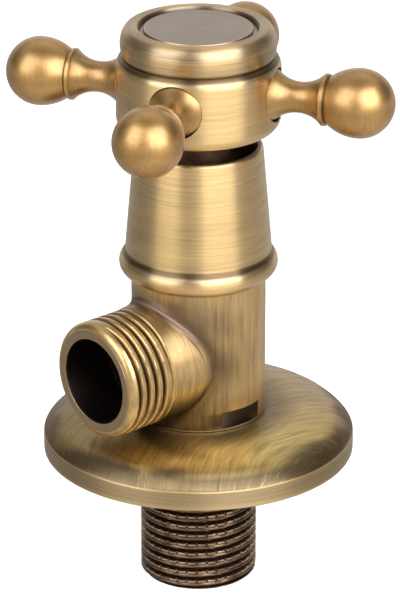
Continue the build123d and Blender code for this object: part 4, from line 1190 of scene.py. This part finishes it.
lens = bpy.data.cameras.new("camera")
lens.sensor_fit, lens.sensor_width, lens.lens = "AUTO", 36, 229.6
lens.shift_x = 1.5 / 594
lens.clip_start, lens.clip_end = 0.01, 20
camera = bpy.data.objects.new("camera", lens)
bpy.context.scene.collection.objects.link(camera)
camera.location = CAMERA_TARGET + toward(CAMERA_AZIMUTH, CAMERA_ELEVATION) * CAMERA_DISTANCE
camera.rotation_euler = toward(CAMERA_AZIMUTH, CAMERA_ELEVATION).to_track_quat("Z", "Y").to_euler()
bpy.context.scene.camera = camera


def softbox(name, side, height, distance, size, glow):
    """Add a softbox at an angle to the camera's side and a height angle, in degrees."""
    lamp = bpy.data.lights.new(name, "AREA")
    lamp.shape, (lamp.size, lamp.size_y) = "RECTANGLE", size
    lamp.energy = glow * pi * size[0] * size[1]
    lamp.color = (0.97, 1.0, 1.1)
    light = bpy.data.objects.new(name, lamp)
    bpy.context.scene.collection.objects.link(light)
    way = toward(CAMERA_AZIMUTH + radians(side), radians(height))
    light.location = Vector((0, 0, 0.035)) + way * distance
    light.rotation_euler = way.to_track_quat("Z", "Y").to_euler()
    return light


softbox("softbox right", 35, 34, 0.5, (0.53, 0.48), 4.3)
softbox("softbox left", -52, 34, 0.5, (0.36, 0.48), 3.1)

# The floor has a lamp of its own, so that it stays pale without lighting the valve from above
floor_lamp = bpy.data.lights.new("floor lamp", "SUN")
floor_lamp.energy = 2.4
floor_lamp.use_shadow = False
floor_light = bpy.data.objects.new("floor lamp", floor_lamp)
bpy.context.scene.collection.objects.link(floor_light)
floor_only = bpy.data.collections.new("floor only")
floor_only.objects.link(floor)
floor_light.light_linking.receiver_collection = floor_only


def studio_world():
    """Build the studio round the valve: a pale table in front, a pale wall behind, dim sides."""
    world = bpy.data.worlds.new("studio")
    world.use_nodes = True
    tree = Tree(world.node_tree)
    way = tree.add("ShaderNodeTexCoord").outputs["Generated"]
    front = toward(CAMERA_AZIMUTH, 0)
    facing = tree.vector("DOT_PRODUCT", way, tuple(front))
    up = tree.add("ShaderNodeSeparateXYZ", Vector=way).outputs["Z"]
    side = tree.vector("DOT_PRODUCT", way, tuple(toward(CAMERA_AZIMUTH + pi / 2, 0)))
    table = tree.math("SUBTRACT", 1.0, soft_step(tree, up, -0.02, 0.06))
    above = tree.math("SUBTRACT", 1.0, table)
    behind = tree.math("MULTIPLY", facing, -1.0)
    lit = weighed(tree, (soft_step(tree, facing, -0.3, 0.8), 0.45), (soft_step(tree, side, -0.7, 0.9), 0.25))
    edge = tree.math("MULTIPLY", soft_step(tree, up, -0.62, -0.46), tree.math("SUBTRACT", 1.0, soft_step(tree, up, -0.3, -0.1)))
    near = tree.math("MULTIPLY", table, tree.math("ADD", lit, 0.38))
    near = tree.math("MULTIPLY", near, tree.math("SUBTRACT", 1.0, tree.math("MULTIPLY", edge, 0.35)))
    low = tree.math("SUBTRACT", 1.0, soft_step(tree, up, 0.35, 0.7))
    far = tree.math("MULTIPLY", tree.math("MULTIPLY", soft_step(tree, behind, 0.5, 0.95), low), above)
    overhead = tree.math("MULTIPLY", soft_step(tree, up, 0.45, 0.8), soft_step(tree, behind, -0.15, 0.55))
    screen = tree.math("MULTIPLY", soft_step(tree, facing, 0.0, 0.9), above)
    glow = weighed(tree, (near, 1.0), (far, 0.72), (overhead, 0.9), (screen, 0.32))
    glow = tree.math("ADD", glow, 0.09)
    background = world.node_tree.nodes["Background"]
    tree.join(glow, background.inputs["Strength"])
    background.inputs["Color"].default_value = (1, 0.955, 0.89, 1)
    return world


bpy.context.scene.world = studio_world()
bpy.context.scene.view_settings.view_transform = "Standard"
